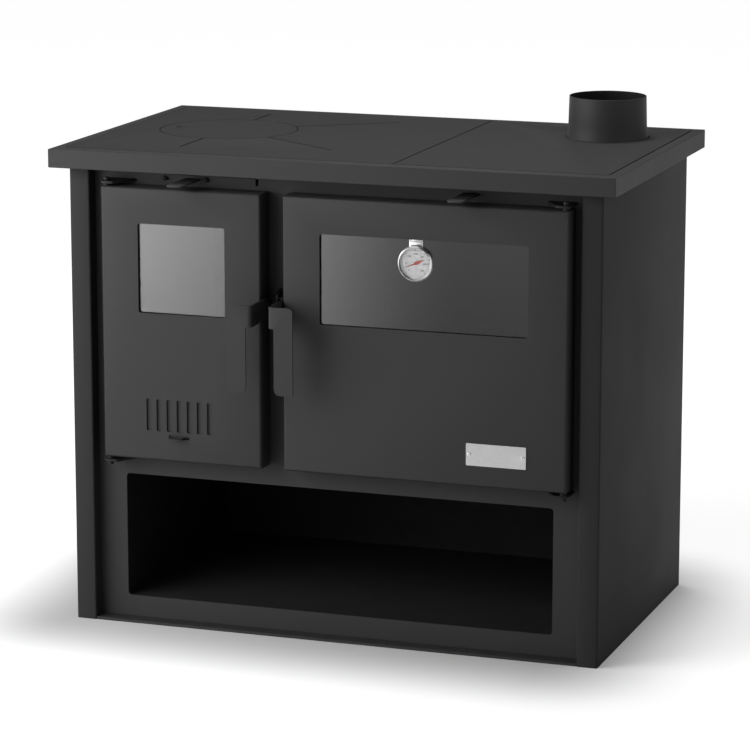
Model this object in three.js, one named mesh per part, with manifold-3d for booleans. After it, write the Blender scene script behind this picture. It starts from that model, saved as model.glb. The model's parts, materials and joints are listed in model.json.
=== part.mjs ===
// A wood-burning cookstove: a folded sheet-steel cabinet with a firebox on the left, an oven on
// the right, a wood store below and a loose-plate hob above.
// Millimetres. +X is to the right seen from the front, +Y to the back, +Z up.
// The origin is the middle of the footprint, on the floor.

import * as THREE from 'three';
import { mergeVertices } from 'three/addons/utils/BufferGeometryUtils.js';
import Module from 'manifold-3d';

const wasm = await Module();
wasm.setup();

// ---------------------------------------------------------------- driving dimensions

const clearance = 0.3; // left between pieces that touch

const beyond = 1; // how far a cutting solid passes the face that it cuts

// Cabinet. Its width and height follow from the doors and the store.
const bodyDepth = 557;
const casingSheet = 2;
const casingBend = 3; // outside radius of a fold
const stileWidth = 36;
const panelRecess = 27; // the front panel stands this far behind the stiles
const panelSheet = 3;
const rearFlange = 25;
const baseThickness = 5;
const baseSetback = 1; // behind the front of the stiles

// Wood store
const storeInset = 86.5; // from the cabinet's sides
const storeBottom = 42.5;
const storeHeight = 219.5;
const storeBar = 38; // front panel left between the store and the doors
const storeBackGap = 52.4; // between the store and the back panel
const storeCorner = 6;

// Worktop and hob
const topThickness = 32;
const topOverhang = 27; // in front of the stiles
const topSideOverhang = 27.5;
const topBackOverhang = 16;
const topWall = 4;
const sideRim = 19;
const frontRim = 27;
const backRim = 15;
const pocketCorner = 9;
const hobThickness = 8;
const hobPlay = 1; // joint round and between the hob plates
const ledgeWidth = 24;
const ledgeThickness = 4;
const leftHobWidth = 591;
const lidRadius = 121.5;
const lidPlay = 1;
const lidShoulder = 8; // width of the ring that the lid rests on
const lidFromSide = 183.5;
const lidFromFront = 300;
const keyholeRadius = 5;
const keyholeFromEdge = 26;
const keyholeSlot = 13; // from the round end
const slotWidth = 2.5;
const frontSlotReach = 226; // slot ends, measured from the lid's centre
const backSlotReach = 207;
const sideSlotReach = 316;
const sideSlotAngle = 35;

// Flue collar
const collarFromSide = 121; // from the right edge of the hob pocket
const collarFromBack = 127;
const collarHeight = 72;
const collarBaseRadius = 71.1;
const collarNeckRadius = 68.3; // where the foot's flare ends
const collarNeckHeight = 27;
const collarRimRadius = 67.1;
const collarWall = 2;
const collarSeat = 2; // depth of the seat in the hob plate
const collarSeatPlay = 0.6;
const collarShoulder = 5; // ledge that rests on the hob plate, inside the wall
const spigotLength = 14; // how far the collar reaches down through the plate
const spigotPlay = 0.6;

// Doors
const doorSheet = 3;
const doorBend = 5;
const doorDepth = 40;
const doorProud = 18; // front of the doors, ahead of the stiles
const doorHeight = 472;
const doorBelowTop = 28; // gap to the underside of the worktop
const fireDoorInset = 65; // from the cabinet's left side
const fireDoorWidth = 290;
const doorGap = 40;
const ovenDoorWidth = 497.5;
const ovenDoorInset = 52.5; // from the cabinet's right side
const windowCorner = 4;
const windowBottom = 257; // above the door's lower edge
const windowBelowTop = 61; // below the door's upper edge
const fireWindowInset = 67.5; // from the hinge edge of the fire door
const fireWindowMargin = 64.5; // from its free edge
const ovenWindowInset = 68; // from the hinge edge of the oven door
const ovenWindowMargin = 66; // from its free edge
const glassThickness = 4;
const glassLap = 17; // glass behind the sheet, all round the window
const glassSetback = 2; // sheet to glass, filled by a sealing tape
const retainerThickness = 3;
const linerSheet = 2;
const linerBack = 33; // back of the door's inner plate, behind the door's front
const ropeWidth = 12;
const ropeInset = 11.5; // from the door's edge to the sealing rope

// Hinges
const pinWallGap = 0.5; // pin to the inside of the door's hinge edge
const pinBehindFront = 10;
const pinRadius = 4;
const pinPlay = 0.3;
const pinCollarRadius = 6;
const pinHeadRadius = 5;
const pinHeadHeight = 6;
const pinDepth = 12; // how far the pin reaches into the door
const earThickness = 4;
const earAway = 4.5; // ear to door edge
const earNose = 9; // metal round the pin
const earRoot = 50; // width of the ear at the panel
const earNoseLength = 23.4; // width of the ear at its front
const earNoseCorner = 7.2;

// Door handles
const pivotAboveBottom = 283;
const pivotBehindFront = 19.5;
const pivotRadius = 5;
const handleSheet = 3;
const handleBend = 6; // outside radius of the fold between grip and cheek
const handleStandout = 58; // grip ahead of the door's front
const handleAbovePivot = 10;
const gripLength = 150;
const gripWidth = 34;
const shoulderWidth = 10;
const shoulderHeight = 37;
const gripTopCorner = 7;
const gripLowCorner = 10;
const gripEdgeCorner = 2;
const cheekLowCorner = 8;
const cheekRise = 14; // lower edge of the cheek below the pivot, ahead of it
const cheekBack = 9; // and behind it
const handleSpacer = 2; // between door edge and handle
const boltHeadRadius = 8;
const boltHeadHeight = 4;
const keeperPinRadius = 3;
const keeperPinBack = 13; // keeper pin from the handle's pivot
const keeperPinAbove = 8;
const keeperPinEndGap = 2.5; // keeper pin's end to the door edge
const keeperPlate = 4;
const toothPlay = 1;
const toothWidth = 4;
const toothRise = 2; // tip of the tooth above the keeper pin's axis
const toothRoot = 3; // its lower end below the pivot
const slotPlay = 1.2; // keeper pin to the floor of the hook's slot
const keeperRoot = 32; // height of the keeper plate at the panel
const keeperNose = 12; // and at its front
const keeperLip = 7; // plate in front of the pin's axis

// Air controls
const airSlots = 7;
const airSlotPitch = 18.6;
const airSlotWidth = 8;
const airSlotCorner = 1;
const airSlotHeight = 55;
const airSlotBottom = 52.5; // above the door's lower edge
const airSlotInset = 83.5; // hinge edge to the middle of the first slot
const airWindowMargin = 5; // opening in the inner plate, past the slots
const shutterSheet = 1.5;
const shutterTravel = 9.3;
const shutterMargin = 9;
const shutterEnd = 4; // strip past the slots at its ends
const shutterPlay = 0.2; // slots in the strip, larger than those in the door
const guideEnd = 6; // channel past the strip, at both ends
const guideLip = 3; // channel above and below the strip
const guideWindow = 2; // opening of the channel past the air slots
const guideStop = 12; // closed stretch at the channel's far end
const tabWidth = 24;
const tabPlay = 2; // round the tab in its slot
const tabReach = 12; // ahead of the door's front
const tabDrop = 11.5; // below the air slots
const slideLength = 175;
const slideHeight = 13;
const slideSheet = 2;
const slideFromTop = 9; // below the worktop
const slideFromSide = 156.5; // from the cabinet's left side
const slideTravel = 10;
const slideInletLength = 26; // air inlet behind the strip's right end
const slideInletHeight = 10.5;
const slideInletShows = 4.3; // part of it that the strip leaves open at rest
const slideScrewRadius = 2.5;
const slideScrewHead = 4.5;
const slideScrewInset = 9.5;
const slideScrewGap = 10.5; // lever to the right screw
const leverWidth = 28;
const leverSheet = 3;
const leverReach = 87; // ahead of the front panel
const leverCorner = 5;
const leverPlay = 1;
const slideLeverInset = 46.5;
const damperFromCollar = 122; // damper's lever to the left of the collar's axis
const damperTravel = 60;
const damperNeck = 16; // width of the damper's bar inside the cabinet
const damperTaper = 20; // length over which it narrows

// Firebox
const mouthInset = 30; // door edge to mouth edge
const ashMouthHeight = 110;
const mouthBar = 30;
const fireboxSheet = 3;
const fireboxDepth = 400;
const brickThickness = 25;
const brickHeight = 280;
const brickSetback = 1; // behind the front panel
const grateDrop = 8; // grate top below the fire mouth
const grateThickness = 12;
const grateSlots = 9;
const grateSlotWidth = 9;
const grateMargin = 28;
const bearerSize = 12;
const deckSheet = 3;
const deckDrop = 13; // deck top below the doors
const ashPanWidth = 165;
const ashPanHeight = 62;
const ashPanSheet = 1.5;
const ashPanSetback = 29; // pan front behind the front panel's face
const ashPanBackGap = 39.6; // and its back before the firebox's back wall
const bailRadius = 3;
const bailReach = 18;
const bailWidth = 90;
const bailHeight = 37; // above the pan's floor

// Oven
const ovenSheet = 2;
const ovenDepth = 430;
const runnerSheet = 1.5;
const runnerLedge = 24;
const runnerMargin = 20; // plate above the top ledge and below the lowest
const runnerEndGap = 6;
const runnerLevels = 3;
const firstRunner = 85; // above the oven floor
const runnerPitch = 95;
const rackSetback = 67.5; // rack front behind the front panel's face
const rackBackGap = 13.8; // and its back before the oven's back wall
const rackPlay = 16; // rack edge to the runner plate, so that it passes the open door
const rackRod = 3;
const rackWire = 2;
const rackWires = 13;
const trayHeight = 25;
const traySheet = 1.2;
const trayRim = 8;
const trayCorner = 6;
const trayBowlPlay = 4; // bowl to the runner's ledge

// Smoke ways
const flueBoxFromCollar = 174; // its left side, from the collar's axis
const flueBoxPastCollar = 86; // its right side
const flueBoxBeforeCollar = 82.6; // and its front
const flueBoxSheet = 2;
const bypassWidth = 84;
const bypassHeight = 44;
const flapLap = 8;
const flapSheet = 3;
const throatInset = 12; // edge left round the flue box's floor opening
const throatGap = 4; // floor opening to the back of the oven

// Thermometer and plate on the oven door
const dialRadius = 30;
const dialDepth = 9;
const dialFromHinge = 263; // dial centre from the oven door's hinge edge
const dialBelowWindowTop = 40;
const dialRim = 3;
const dialSheet = 1;
const hookWidth = 24;
const hookSheet = 0.8;
const hookLap = 6;
const hubRadius = 2.5;
const needleLength = 17.5;
const needleTail = 19.4;
const needleWaist = 4; // from the hub to the pointer's widest place
const needleHalf = 3; // half its width there
const needleAngle = 23;
const needleSheet = 0.6;
const plateWidth = 104;
const plateHeight = 38;
const plateSheet = 1;
const plateFromHinge = 69;
const plateAboveBottom = 36;
const rivetInset = 5.5;
const rivetRadius = 2.5;

// ---------------------------------------------------------------- shared places

const bodyWidth = fireDoorInset + fireDoorWidth + doorGap + ovenDoorWidth + ovenDoorInset;
const doorBottom = storeBottom + storeHeight + storeBar;
const bodyHeight = doorBottom + doorHeight + doorBelowTop; // to the worktop's underside
const storeWidth = bodyWidth - 2 * storeInset;
const topWidth = bodyWidth + 2 * topSideOverhang;
const topDepth = topOverhang + bodyDepth + topBackOverhang;
const windowHeight = doorHeight - windowBottom - windowBelowTop;
const fireWindowWidth = fireDoorWidth - fireWindowInset - fireWindowMargin;
const ovenWindowWidth = ovenDoorWidth - ovenWindowInset - ovenWindowMargin;
const faceY = -bodyDepth / 2; // front of the stiles
const panelY = faceY + panelRecess; // front of the recessed panel
const behindPanel = panelY + panelSheet + clearance;
const sideInner = bodyWidth / 2 - casingSheet; // inside of the side panels
const foldInner = Math.max(casingBend - casingSheet, clearance); // keeps plates off a fold's inside
const backPanelY = bodyDepth / 2 - 2 * casingSheet - clearance; // inside of the back panel
const storeDepth = backPanelY - storeBackGap - behindPanel;
const topZ = bodyHeight + topThickness;
const pocketZ = topZ - hobThickness - clearance;
const casingTop = pocketZ - ledgeThickness - clearance;
const pocketLeft = -topWidth / 2 + sideRim;
const topFront = faceY - topOverhang;
const pocketFront = topFront + frontRim;
const pocketBack = topFront + topDepth - backRim;
const seamX = pocketLeft + leftHobWidth;
const collarX = -pocketLeft - collarFromSide;
const collarY = pocketBack - collarFromBack;
const spigotRadius = collarBaseRadius - collarWall - collarShoulder;
const damperLeverX = collarX - damperFromCollar;
const flueBoxLeft = collarX - flueBoxFromCollar;

const doorFront = faceY - doorProud;
const pinInset = doorSheet + pinRadius + pinWallGap; // pin axis from the door's hinge edge
const doorTop = doorBottom + doorHeight;
const fireLeft = -bodyWidth / 2 + fireDoorInset;
const fireRight = fireLeft + fireDoorWidth;
const ovenLeft = fireRight + doorGap;
const ovenRight = ovenLeft + ovenDoorWidth;
const pinY = doorFront + pinBehindFront;
const pivotY = doorFront + pivotBehindFront;
const pivotZ = doorBottom + pivotAboveBottom;

const mouthBottom = doorBottom + mouthInset;
const mouthTop = doorTop - mouthInset;
const fireMouthBottom = mouthBottom + ashMouthHeight + mouthBar;
const fireMouth = [fireLeft + mouthInset, fireRight - mouthInset];
const ovenMouth = [ovenLeft + mouthInset, ovenRight - mouthInset];
const deckTop = doorBottom - deckDrop;
const grateTop = fireMouthBottom - grateDrop;
const ovenOuterTop = mouthTop + ovenSheet;

// ---------------------------------------------------------------- shapes

const arcStep = THREE.MathUtils.degToRad(30);
const full = 2 * Math.PI;

function solidOf(geometry) {
  geometry.deleteAttribute('normal');
  geometry.deleteAttribute('uv');
  const merged = mergeVertices(geometry, 1e-4);
  return new wasm.Manifold(new wasm.Mesh({
    numProp: 3,
    vertProperties: new Float32Array(merged.attributes.position.array),
    triVerts: new Uint32Array(merged.index.array),
  }));
}

function geometryOf(solid) {
  const mesh = solid.getMesh();
  const geometry = new THREE.BufferGeometry();
  geometry.setAttribute('position', new THREE.BufferAttribute(mesh.vertProperties, 3));
  geometry.setIndex(new THREE.BufferAttribute(mesh.triVerts, 1));
  geometry.computeVertexNormals();
  return geometry;
}

const join = (first, ...rest) => rest.reduce((sum, next) => sum.add(next), first);
const cut = (body, ...tools) => tools.reduce((left, tool) => left.subtract(tool), body);
const range = (count) => [...Array(count).keys()];

// An outline through corners [x, y, radius]; a corner without a radius stays sharp.
function outline(corners) {
  const points = [];
  corners.forEach(([x, y, radius = 0], i) => {
    const corner = new THREE.Vector2(x, y);
    if (radius <= 0) {
      points.push(corner);
      return;
    }
    const [backX, backY] = corners[(i + corners.length - 1) % corners.length];
    const [nextX, nextY] = corners[(i + 1) % corners.length];
    const back = new THREE.Vector2(backX - x, backY - y).normalize();
    const next = new THREE.Vector2(nextX - x, nextY - y).normalize();
    const half = Math.acos(THREE.MathUtils.clamp(back.dot(next), -1, 1)) / 2;
    const centre = back.clone().add(next).normalize()
      .multiplyScalar(radius / Math.sin(half)).add(corner);
    const start = back.multiplyScalar(radius / Math.tan(half)).add(corner).sub(centre).angle();
    const end = next.multiplyScalar(radius / Math.tan(half)).add(corner).sub(centre).angle();
    const sweep = THREE.MathUtils.euclideanModulo(end - start + Math.PI, full) - Math.PI;
    const steps = Math.ceil(Math.abs(sweep) / arcStep - 1e-6);
    for (const k of range(steps + 1)) {
      const angle = start + (sweep * k) / steps;
      points.push(new THREE.Vector2(Math.cos(angle), Math.sin(angle))
        .multiplyScalar(radius).add(centre));
    }
  });
  return new THREE.Shape(points);
}

const rectangle = (x0, x1, y0, y1, radius = 0) =>
  outline([[x0, y0, radius], [x1, y0, radius], [x1, y1, radius], [x0, y1, radius]]);

// The section of a sheet folded along a line of points. The points follow one face, the
// thickness lies to the right of the way they run, and every fold has the same outside radius.
function foldedSheet(points, sheet, bend) {
  const ways = points.slice(1).map(([x, y], i) =>
    new THREE.Vector2(x - points[i][0], y - points[i][1]).normalize());
  const right = (way) => new THREE.Vector2(way.y, -way.x).multiplyScalar(sheet);
  const near = [];
  const far = [];
  points.forEach(([x, y], i) => {
    const before = ways[Math.max(i - 1, 0)];
    const after = ways[Math.min(i, ways.length - 1)];
    const turn = before.cross(after);
    const shift = right(before).add(right(after)).divideScalar(1 + before.dot(after));
    const inner = Math.max(bend - sheet, 0);
    near.push([x, y, turn < -1e-9 ? bend : turn > 1e-9 ? inner : 0]);
    far.push([x + shift.x, y + shift.y, turn < -1e-9 ? inner : turn > 1e-9 ? bend : 0]);
  });
  return outline([...near, ...far.reverse()]);
}

const extruded = (shape, length) =>
  new THREE.ExtrudeGeometry(shape, { depth: length, bevelEnabled: false, curveSegments: 12 });

const unitX = new THREE.Vector3(1, 0, 0);
const unitY = new THREE.Vector3(0, 1, 0);
const unitZ = new THREE.Vector3(0, 0, 1);

// An outline drawn in X and Y, standing from z0 to z1.
function prismZ(shape, z0, z1) {
  return solidOf(extruded(shape, z1 - z0).translate(0, 0, z0));
}

// An outline drawn in X and Z, running from y0 to y1.
function prismY(shape, y0, y1) {
  const turn = new THREE.Matrix4().makeBasis(unitX, unitZ, unitY.clone().negate());
  return solidOf(extruded(shape, y1 - y0).applyMatrix4(turn).translate(0, y1, 0));
}

// An outline drawn in Y and Z, running from x0 to x1.
function prismX(shape, x0, x1) {
  const turn = new THREE.Matrix4().makeBasis(unitY, unitZ, unitX);
  return solidOf(extruded(shape, x1 - x0).applyMatrix4(turn).translate(x0, 0, 0));
}

function block(x0, x1, y0, y1, z0, z1) {
  return solidOf(new THREE.BoxGeometry(x1 - x0, y1 - y0, z1 - z0)
    .translate((x0 + x1) / 2, (y0 + y1) / 2, (z0 + z1) / 2));
}

// A profile of [radius, height] revolved about +Z. It starts and ends on the axis, or closes.
function turned(profile, segments = 32) {
  const points = profile.map(([radius, height]) => new THREE.Vector2(radius, height));
  return solidOf(new THREE.LatheGeometry(points, segments).rotateX(Math.PI / 2));
}

function rod(radius, from, to, sides = 8) {
  const start = new THREE.Vector3(...from);
  const way = new THREE.Vector3(...to).sub(start);
  const turn = new THREE.Quaternion().setFromUnitVectors(unitY, way.clone().normalize());
  return solidOf(new THREE.CylinderGeometry(radius, radius, way.length(), sides)
    .applyQuaternion(turn).translate(...start.addScaledVector(way, 0.5).toArray()));
}

// A stepped pin of [radius, length] stretches, standing up from z = 0.
function steppedPin(stretches, segments = 24) {
  const profile = [[0, 0]];
  let height = 0;
  for (const [radius, length] of stretches) {
    profile.push([radius, height], [radius, height + length]);
    height += length;
  }
  profile.push([0, height]);
  return turned(profile, segments);
}

// A tray with a flat floor and four folded walls, open upwards, centred in X and Y.
function foldedTray(width, length, height, sheet, bend) {
  const trough = (w, l, h, radius, z) => {
    const side = (size) =>
      outline([[-size / 2, z, radius], [size / 2, z, radius], [size / 2, h], [-size / 2, h]]);
    return prismY(side(w), -l / 2, l / 2).intersect(prismX(side(l), -w / 2, w / 2));
  };
  const inner = Math.max(bend - sheet, 0);
  return cut(trough(width, length, height, bend, 0),
    trough(width - 2 * sheet, length - 2 * sheet, height + beyond, inner, sheet));
}

// ---------------------------------------------------------------- finishes

const finish = (color, roughness, metalness, extra = {}) =>
  new THREE.MeshStandardMaterial({ color, roughness, metalness, ...extra });
const finishes = {
  paint: () => finish(0x303030, 0.62, 0.2),
  hob: () => finish(0x333435, 0.55, 0.5),
  inside: () => finish(0x1c1c1c, 0.8, 0.2),
  iron: () => finish(0x2a2826, 0.75, 0.6),
  brick: () => finish(0xb08a5e, 0.95, 0),
  rope: () => finish(0x3a3835, 1, 0),
  glass: () => finish(0x15181a, 0.05, 0, { transparent: true, opacity: 0.35 }),
  lens: () => finish(0xe8eef0, 0.05, 0, { transparent: true, opacity: 0.25 }),
  steel: () => finish(0xb4b6b8, 0.35, 1),
  zinc: () => finish(0x8e9194, 0.5, 1),
  enamel: () => finish(0x16181c, 0.25, 0),
  dial: () => finish(0xd6d8d8, 0.4, 0.6),
  needle: () => finish(0xb03a2c, 0.5, 0),
};

const stove = new THREE.Group();

function add(group, name, solid, finishName) {
  const mesh = new THREE.Mesh(geometryOf(solid), finishes[finishName]());
  mesh.name = name;
  group.add(mesh);
  return mesh;
}

function groupAt(parent, x, y, z) {
  const group = new THREE.Group();
  group.position.set(x, y, z);
  parent.add(group);
  return group;
}

// ---------------------------------------------------------------- cabinet

// One sheet makes the stile, its return towards the front panel, the side and the rear flange.
function sidePanel(side) {
  const outer = (side * bodyWidth) / 2;
  const stileEdge = outer - side * stileWidth;
  const line = [
    [stileEdge, panelY - clearance],
    [stileEdge, faceY],
    [outer, faceY],
    [outer, bodyDepth / 2],
    [outer - side * rearFlange, bodyDepth / 2],
  ];
  const section = side < 0 ? line : line.reverse();
  return prismZ(foldedSheet(section, casingSheet, casingBend), 0, casingTop);
}

function basePlate() {
  const side = sideInner - foldInner;
  const back = bodyDepth / 2 - casingSheet - clearance;
  const tongue = bodyWidth / 2 - stileWidth - clearance;
  return prismZ(outline([
    [-tongue, faceY + baseSetback], [tongue, faceY + baseSetback], [tongue, panelY], [side, panelY],
    [side, back], [-side, back], [-side, panelY], [-tongue, panelY],
  ]), 0, baseThickness);
}

const hole = (x0, x1, z0, z1, radius) =>
  prismY(rectangle(x0, x1, z0, z1, radius), panelY - beyond, panelY + panelSheet + beyond);

const airRowZ = bodyHeight - slideFromTop - slideHeight / 2;
const slideLeft = -bodyWidth / 2 + slideFromSide;
const slideScrewX = (k) => slideLeft
  + [slideScrewInset, slideLeverInset + leverWidth + slideScrewGap][k];
const inletRight = slideLeft + slideLength + slideInletShows;

function frontPanel() {
  const half = sideInner - clearance;
  const sheet = prismY(rectangle(-half, half, baseThickness + clearance, casingTop),
    panelY, panelY + panelSheet);
  const screwHole = (k) => rod(slideScrewRadius + clearance,
    [slideScrewX(k), panelY - beyond, airRowZ],
    [slideScrewX(k), panelY + panelSheet + beyond, airRowZ], 12);
  return cut(sheet,
    hole(-storeWidth / 2, storeWidth / 2, storeBottom, storeBottom + storeHeight, storeCorner),
    hole(...fireMouth, mouthBottom, mouthBottom + ashMouthHeight, storeCorner),
    hole(...fireMouth, fireMouthBottom, mouthTop, storeCorner),
    hole(...ovenMouth, mouthBottom, mouthTop, storeCorner),
    hole(damperLeverX - leverWidth / 2 - leverPlay, damperLeverX + leverWidth / 2 + leverPlay,
      airRowZ - leverSheet / 2 - leverPlay, airRowZ + leverSheet / 2 + leverPlay, 0),
    hole(inletRight - slideInletLength, inletRight, airRowZ - slideInletHeight / 2,
      airRowZ + slideInletHeight / 2, slideInletShows / 2),
    ...range(2).map(screwHole));
}

function backPanel() {
  const half = sideInner - foldInner;
  return block(-half, half, backPanelY, backPanelY + casingSheet,
    baseThickness + clearance, casingTop);
}

// A folded box, open to the front, seated behind the edge of the store's mouth.
function storeLiner() {
  const tray = foldedTray(storeWidth + 2 * casingSheet, storeHeight + 2 * casingSheet,
    storeDepth, casingSheet, casingBend);
  return tray.rotate([90, 0, 0]).translate([0, behindPanel + storeDepth,
    storeBottom + storeHeight / 2]);
}

function deck() {
  const half = sideInner - clearance;
  return block(-half, half, behindPanel, backPanelY - clearance, deckTop - deckSheet, deckTop);
}

add(stove, 'left_side_panel', sidePanel(-1), 'paint');
add(stove, 'right_side_panel', sidePanel(1), 'paint');
add(stove, 'back_panel', backPanel(), 'paint');
add(stove, 'base_plate', basePlate(), 'paint');
add(stove, 'front_panel', frontPanel(), 'paint');
add(stove, 'wood_store_liner', storeLiner(), 'inside');
add(stove, 'hearth_deck', deck(), 'inside');

// ---------------------------------------------------------------- worktop and hob

function worktopFrame() {
  const x = topWidth / 2;
  const back = topFront + topDepth;
  const opening = (inset, z0, z1, radius) => prismZ(rectangle(pocketLeft + inset,
    -pocketLeft - inset, pocketFront + inset, pocketBack - inset, radius), z0, z1);
  const ledgeZ = pocketZ - ledgeThickness;
  const skirt = prismZ(rectangle(-x + topWall, x - topWall, topFront + topWall, back - topWall),
    bodyHeight - beyond, ledgeZ);
  const bar = block(seamX - ledgeWidth / 2, seamX + ledgeWidth / 2,
    pocketFront + ledgeWidth - beyond, pocketBack - ledgeWidth + beyond, ledgeZ, pocketZ);
  return join(cut(block(-x, x, topFront, back, bodyHeight, topZ), skirt,
    opening(0, pocketZ, topZ + beyond, pocketCorner),
    opening(ledgeWidth, ledgeZ - beyond, pocketZ + beyond, pocketCorner)), bar);
}

const hobZ = topZ - hobThickness;
const hobCorner = pocketCorner - hobPlay;
const lidX = pocketLeft + lidFromSide;
const lidY = pocketFront + lidFromFront;
const lidSeat = topZ - hobThickness / 2;

// A straight slot that runs out from the round opening, along an angle seen from above.
function expansionSlot(angle, reach) {
  const length = reach - lidRadius + 2 * beyond;
  const turn = new THREE.Matrix4().makeRotationZ(THREE.MathUtils.degToRad(angle));
  return solidOf(new THREE.BoxGeometry(length, slotWidth, hobThickness + 2 * beyond)
    .translate(reach - length / 2, 0, 0).applyMatrix4(turn)
    .translate(lidX, lidY, hobZ + hobThickness / 2));
}

function leftHobPlate() {
  const plate = prismZ(outline([
    [pocketLeft + hobPlay, pocketFront + hobPlay, hobCorner],
    [seamX - hobPlay / 2, pocketFront + hobPlay],
    [seamX - hobPlay / 2, pocketBack - hobPlay],
    [pocketLeft + hobPlay, pocketBack - hobPlay, hobCorner],
  ]), hobZ, topZ);
  const wide = lidRadius + lidPlay;
  const narrow = lidRadius - lidShoulder;
  const well = turned([[0, hobZ - beyond], [narrow, hobZ - beyond], [narrow, lidSeat], [wide, lidSeat],
    [wide, topZ + beyond], [0, topZ + beyond]], 72).translate([lidX, lidY, 0]);
  return cut(plate, well, expansionSlot(-90, frontSlotReach), expansionSlot(90, backSlotReach),
    expansionSlot(-sideSlotAngle, sideSlotReach), expansionSlot(sideSlotAngle, sideSlotReach));
}

function rightHobPlate() {
  const plate = prismZ(outline([
    [seamX + hobPlay / 2, pocketFront + hobPlay],
    [-pocketLeft - hobPlay, pocketFront + hobPlay, hobCorner],
    [-pocketLeft - hobPlay, pocketBack - hobPlay, hobCorner],
    [seamX + hobPlay / 2, pocketBack - hobPlay],
  ]), hobZ, topZ);
  const bore = rod(spigotRadius + spigotPlay, [collarX, collarY, hobZ - beyond],
    [collarX, collarY, topZ + beyond], 48);
  const seat = rod(collarBaseRadius + collarSeatPlay, [collarX, collarY, topZ - collarSeat],
    [collarX, collarY, topZ + beyond], 48);
  return cut(plate, bore, seat);
}

// The lid has a stepped edge that hangs on the plate's shoulder, and a keyhole for the lifter.
function hobLid() {
  const step = lidRadius - lidShoulder - lidPlay;
  const disc = turned([[0, hobZ - topZ], [step, hobZ - topZ], [step, lidSeat - topZ + clearance],
    [lidRadius, lidSeat - topZ + clearance], [lidRadius, 0], [0, 0]], 72);
  const keyX = -lidRadius + keyholeFromEdge;
  const keyhole = join(
    rod(keyholeRadius, [keyX, 0, -hobThickness - beyond], [keyX, 0, beyond], 16),
    block(keyX, keyX + keyholeSlot, -keyholeRadius / 2, keyholeRadius / 2,
      -hobThickness - beyond, beyond));
  return cut(disc, keyhole);
}

// The collar flares to its foot, which sits in the plate, and a spigot goes on through it.
function flueCollar() {
  const bore = spigotRadius - collarWall;
  const foot = clearance - collarSeat;
  const flareSteps = 4;
  const flare = range(flareSteps + 1).map((k) => {
    const share = 1 - k / flareSteps;
    return [collarNeckRadius + (collarBaseRadius - collarNeckRadius) * share * share,
      (collarNeckHeight * k) / flareSteps];
  });
  return turned([
    [bore, -spigotLength], [spigotRadius, -spigotLength], [spigotRadius, foot],
    [collarBaseRadius, foot], ...flare,
    [collarRimRadius, collarHeight], [collarRimRadius - collarWall, collarHeight],
    [collarNeckRadius - collarWall, collarNeckHeight], [bore, collarWall],
    [bore, -spigotLength],
  ], 48);
}

add(stove, 'worktop_frame', worktopFrame(), 'hob');
add(stove, 'left_hob_plate', leftHobPlate(), 'hob');
add(stove, 'right_hob_plate', rightHobPlate(), 'hob');
add(groupAt(stove, lidX, lidY, topZ), 'hob_lid', hobLid(), 'hob');
add(groupAt(stove, collarX, collarY, topZ), 'flue_collar', flueCollar(), 'iron');

// ---------------------------------------------------------------- firebox

const boxLeft = fireMouth[0] - brickThickness - clearance;
const boxRight = fireMouth[1] + brickThickness + clearance;
const boxBack = behindPanel + fireboxDepth + brickThickness + clearance;

// A welded box, open to the front and the top, with a raised floor for the ash pan. Its right
// side stops below the hob so that the smoke passes over the oven.
function fireboxShell() {
  const outerLeft = boxLeft - fireboxSheet;
  const outerRight = boxRight + fireboxSheet;
  const floorZ = mouthBottom - fireboxSheet;
  const bottom = deckTop + clearance;
  const bearerTop = grateTop - grateThickness - clearance;
  const bearer = (x0, x1) =>
    block(x0, x1, behindPanel, boxBack, bearerTop - bearerSize, bearerTop);
  return join(
    cut(block(outerLeft, outerRight, behindPanel, boxBack + fireboxSheet, bottom, casingTop),
      block(boxLeft, boxRight, behindPanel - beyond, boxBack, mouthBottom, casingTop + beyond),
      block(boxLeft, boxRight, behindPanel - beyond, boxBack, bottom - beyond, floorZ),
      block(boxRight - beyond, outerRight + beyond, behindPanel - beyond, boxBack, ovenOuterTop,
        casingTop + beyond)),
    bearer(boxLeft - beyond, boxLeft + bearerSize), bearer(boxRight - bearerSize, boxRight + beyond));
}

function fireGrate() {
  const x0 = boxLeft + clearance;
  const x1 = boxRight - clearance;
  const y0 = behindPanel;
  const y1 = boxBack - clearance;
  const plate = block(x0, x1, y0, y1, grateTop - grateThickness, grateTop);
  const slotX0 = fireMouth[0] + grateMargin / 2;
  const slotX1 = fireMouth[1] - grateMargin / 2;
  const slotY0 = y0 + grateMargin;
  const slotY1 = y1 - brickThickness - grateMargin;
  const pitch = (slotX1 - slotX0) / grateSlots;
  const half = (slotY1 - slotY0) / 2;
  const bars = range(grateSlots).flatMap((k) => {
    const x = slotX0 + (k + 0.5) * pitch;
    return [0, 1].map((row) => block(x - grateSlotWidth / 2, x + grateSlotWidth / 2,
      slotY0 + row * half, slotY0 + (row + 1) * half - grateSlotWidth,
      grateTop - grateThickness - beyond, grateTop + beyond));
  });
  return cut(plate, ...bars);
}

const brickZ = grateTop + clearance;
const brickBack = boxBack - clearance;
const sideBrick = (x0) => block(x0, x0 + brickThickness, behindPanel + brickSetback,
  brickBack - brickThickness - clearance, brickZ, brickZ + brickHeight);
const backBrick = () => block(boxLeft + clearance, boxRight - clearance,
  brickBack - brickThickness, brickBack, brickZ, brickZ + brickHeight);

add(stove, 'firebox_shell', fireboxShell(), 'inside');
add(stove, 'fire_grate', fireGrate(), 'iron');
add(stove, 'firebrick_left', sideBrick(boxLeft + clearance), 'brick');
add(stove, 'firebrick_right', sideBrick(boxRight - clearance - brickThickness), 'brick');
add(stove, 'firebrick_back', backBrick(), 'brick');

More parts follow.
